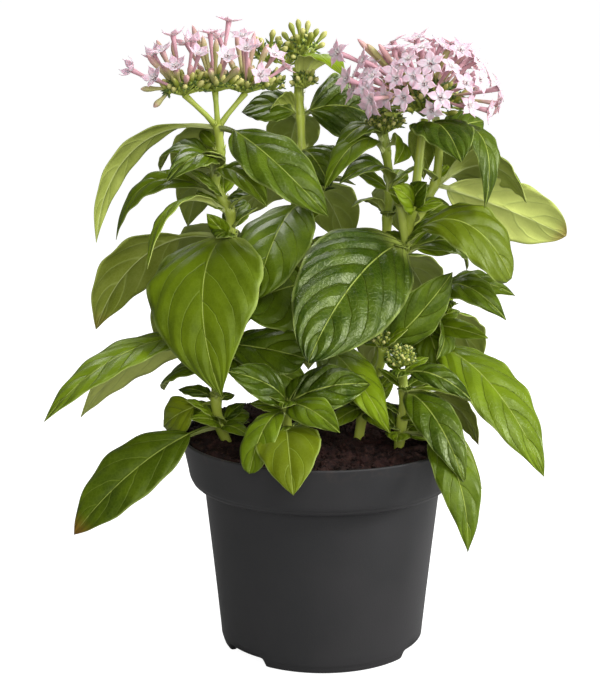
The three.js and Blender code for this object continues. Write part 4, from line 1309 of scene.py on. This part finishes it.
def buildRootBall():
    # a crumbly top, then the side walls and floor
    bm = bmesh.new()
    cells, (coarse, fine) = soilMake["grid"], soilMake["crumbly"]
    disc = bmesh.ops.create_grid(bm, x_segments=cells, y_segments=cells, size=0.5)["verts"]
    for v in disc:
        x, y = v.co.x * 2, v.co.y * 2
        square = max(abs(x), abs(y))
        r = math.hypot(x, y)
        if r > 1e-9:
            x, y = x * square / r, y * square / r
        x, y = x * soilMake["radius"], y * soilMake["radius"]
        edge = 1 - 0.55 * smooth(54, 61, math.hypot(x, y))
        relief = rough(x * 0.35, y * 0.35) * coarse * edge + rough(x * 0.9, y * 0.9, 2) * fine * edge
        v.co = vec(x, y, soilHeight(x, y) + relief)
    rimEdges = [e for e in bm.edges if len(e.link_faces) == 1]
    for radius, height in soilMake["walls"]:
        made = bmesh.ops.extrude_edge_only(bm, edges=rimEdges)["geom"]
        for v in [g for g in made if isinstance(g, bmesh.types.BMVert)]:
            r = math.hypot(v.co.x, v.co.y)
            v.co = Vector((v.co.x * radius * mm / r, v.co.y * radius * mm / r, height * mm))
        rimEdges = [g for g in made if isinstance(g, bmesh.types.BMEdge)]
    bmesh.ops.holes_fill(bm, edges=rimEdges, sides=0)
    bmesh.ops.recalc_face_normals(bm, faces=bm.faces)
    for face in bm.faces:
        face.smooth = True
    pieceFrom(bm, "soilBody", [soilSkin], "soil")


def growCrumb(bm, rng):
    least, more = soilMake["crumbSize"]
    x, y = inCircle(rng, soilMake["crumbCircle"])
    size = least + more * rng.random() ** 3
    verts = bmesh.ops.create_icosphere(bm, subdivisions=1, radius=size * mm)["verts"]
    place = vec(x, y, soilHeight(x, y) + rng.uniform(-0.2, 0.6))
    turn = rng.random() * 6
    spin = Matrix.Rotation(turn, 3, Vector((rng.random(), rng.random(), rng.random() + 0.1)))
    stretch = Vector((rng.uniform(0.7, 1.4), rng.uniform(0.6, 1.1), rng.uniform(0.5, 0.9)))
    for v in verts:
        v.co = place + spin @ Vector([c * s * rng.uniform(0.8, 1.2) for c, s in zip(v.co, stretch)])


def growFibre(bm, rng):
    x, y = inCircle(rng, soilMake["fibreCircle"])
    head = rng.random() * 2 * math.pi
    long = rng.uniform(*soilMake["fibreLength"])
    edge, radii = soilMake["fibreEdge"], [radius * mm for radius in soilMake["fibreRadii"]]
    points = []
    for k in range(4):
        xx, yy = x + math.cos(head + 0.2 * k) * long * k / 3, y + math.sin(head + 0.2 * k) * long * k / 3
        r = math.hypot(xx, yy)
        if r > edge:
            xx, yy = xx * edge / r, yy * edge / r
        points.append(vec(xx, yy, soilHeight(xx, yy) + 0.7 + 0.5 * math.sin(k * 1.4)))
    tube(bm, points, radii, 5)


def buildSoil():
    rng = random.Random(soilMake["seed"])
    buildRootBall()
    crumbs = newPart()
    growMany(crumbs, soilMake["crumbs"], lambda part: growCrumb(part, rng))
    growMany(crumbs, soilMake["fibres"], lambda part: growFibre(part, rng))
    pieceFrom(crumbs, "soilCrumbs", [soilSkin])


print("pot and soil")
buildPot()
buildSoil()


# studio

studio = {
    "camera": (-10.2, -800, 313.6), "pitch": 0.2106, "focal": 1794, "frame": (600, 683), "sensor": 36,
    "lamps": {
        "key": {"at": (560, -560, 980), "size": 420, "power": 9.0},
        "side": {"at": (1000, -80, 420), "size": 460, "power": 9.5},
        "front": {"at": (80, -1150, 560), "size": 800, "power": 8.0},
        "back": {"at": (-160, 620, 900), "size": 700, "power": 7.0},
    },
    "aim": (0, 0, 150), "sky": 0.17, "floorSize": 40, "floorDrop": 0.1, "floorGlow": 0.94, "floorPaint": 0.40,
}


def buildCamera():
    camera = bpy.data.cameras.new("camera")
    camera.sensor_fit = "VERTICAL"
    camera.sensor_height = studio["sensor"]
    camera.lens = studio["focal"] * studio["sensor"] / studio["frame"][1]
    camera.clip_start = 0.01
    view = addToScene("camera", camera)
    view.location = vec(*studio["camera"])
    view.rotation_euler = (math.pi / 2 - studio["pitch"], 0, 0)
    bpy.context.scene.camera = view


def buildLamps():
    for name, spec in studio["lamps"].items():
        lamp = bpy.data.lights.new(name, "AREA")
        lamp.shape = "DISK"
        lamp.size = spec["size"] * mm
        lamp.energy = spec["power"]
        light = addToScene(name, lamp)
        light.location = vec(*spec["at"])
        aim = vec(*studio["aim"]) - light.location
        light.rotation_euler = aim.to_track_quat("-Z", "Y").to_euler()


def buildBackdrop():
    # the backdrop looks white, and lights the plant less than that
    world = bpy.data.worlds.new("studio")
    bpy.context.scene.world = world
    world.use_nodes = True
    tree = world.node_tree
    seen = addNode(tree, "ShaderNodeLightPath").outputs["Is Camera Ray"]
    strength = calc(tree, "MAXIMUM", seen, studio["sky"])
    wire(tree, tree.nodes["Background"], Color=(1, 1, 1, 1), Strength=strength)


def buildFloor():
    # the floor looks white, and throws back less light than that
    material, tree, shader = newMaterial("floorPaint")
    seen = addNode(tree, "ShaderNodeLightPath").outputs["Is Camera Ray"]
    glow = calc(tree, "MULTIPLY", seen, studio["floorGlow"])
    wire(tree, shader, Base_Color=(*[studio["floorPaint"]] * 3, 1), Roughness=1, Specular_IOR_Level=0,
         Emission_Color=(1, 1, 1, 1), Emission_Strength=glow)
    bm = bmesh.new()
    bmesh.ops.create_grid(bm, x_segments=1, y_segments=1, size=studio["floorSize"])
    floor = objectFrom(bm, "floor", [material])
    floor.location.z = -studio["floorDrop"] * mm


def buildStudio():
    buildCamera()
    buildLamps()
    buildBackdrop()
    buildFloor()
    shown = bpy.context.scene.view_settings
    shown.view_transform = "Standard"
    shown.look = "None"
    shown.exposure = 0
    shown.gamma = 1


print("studio")
buildStudio()
print("pieces done")
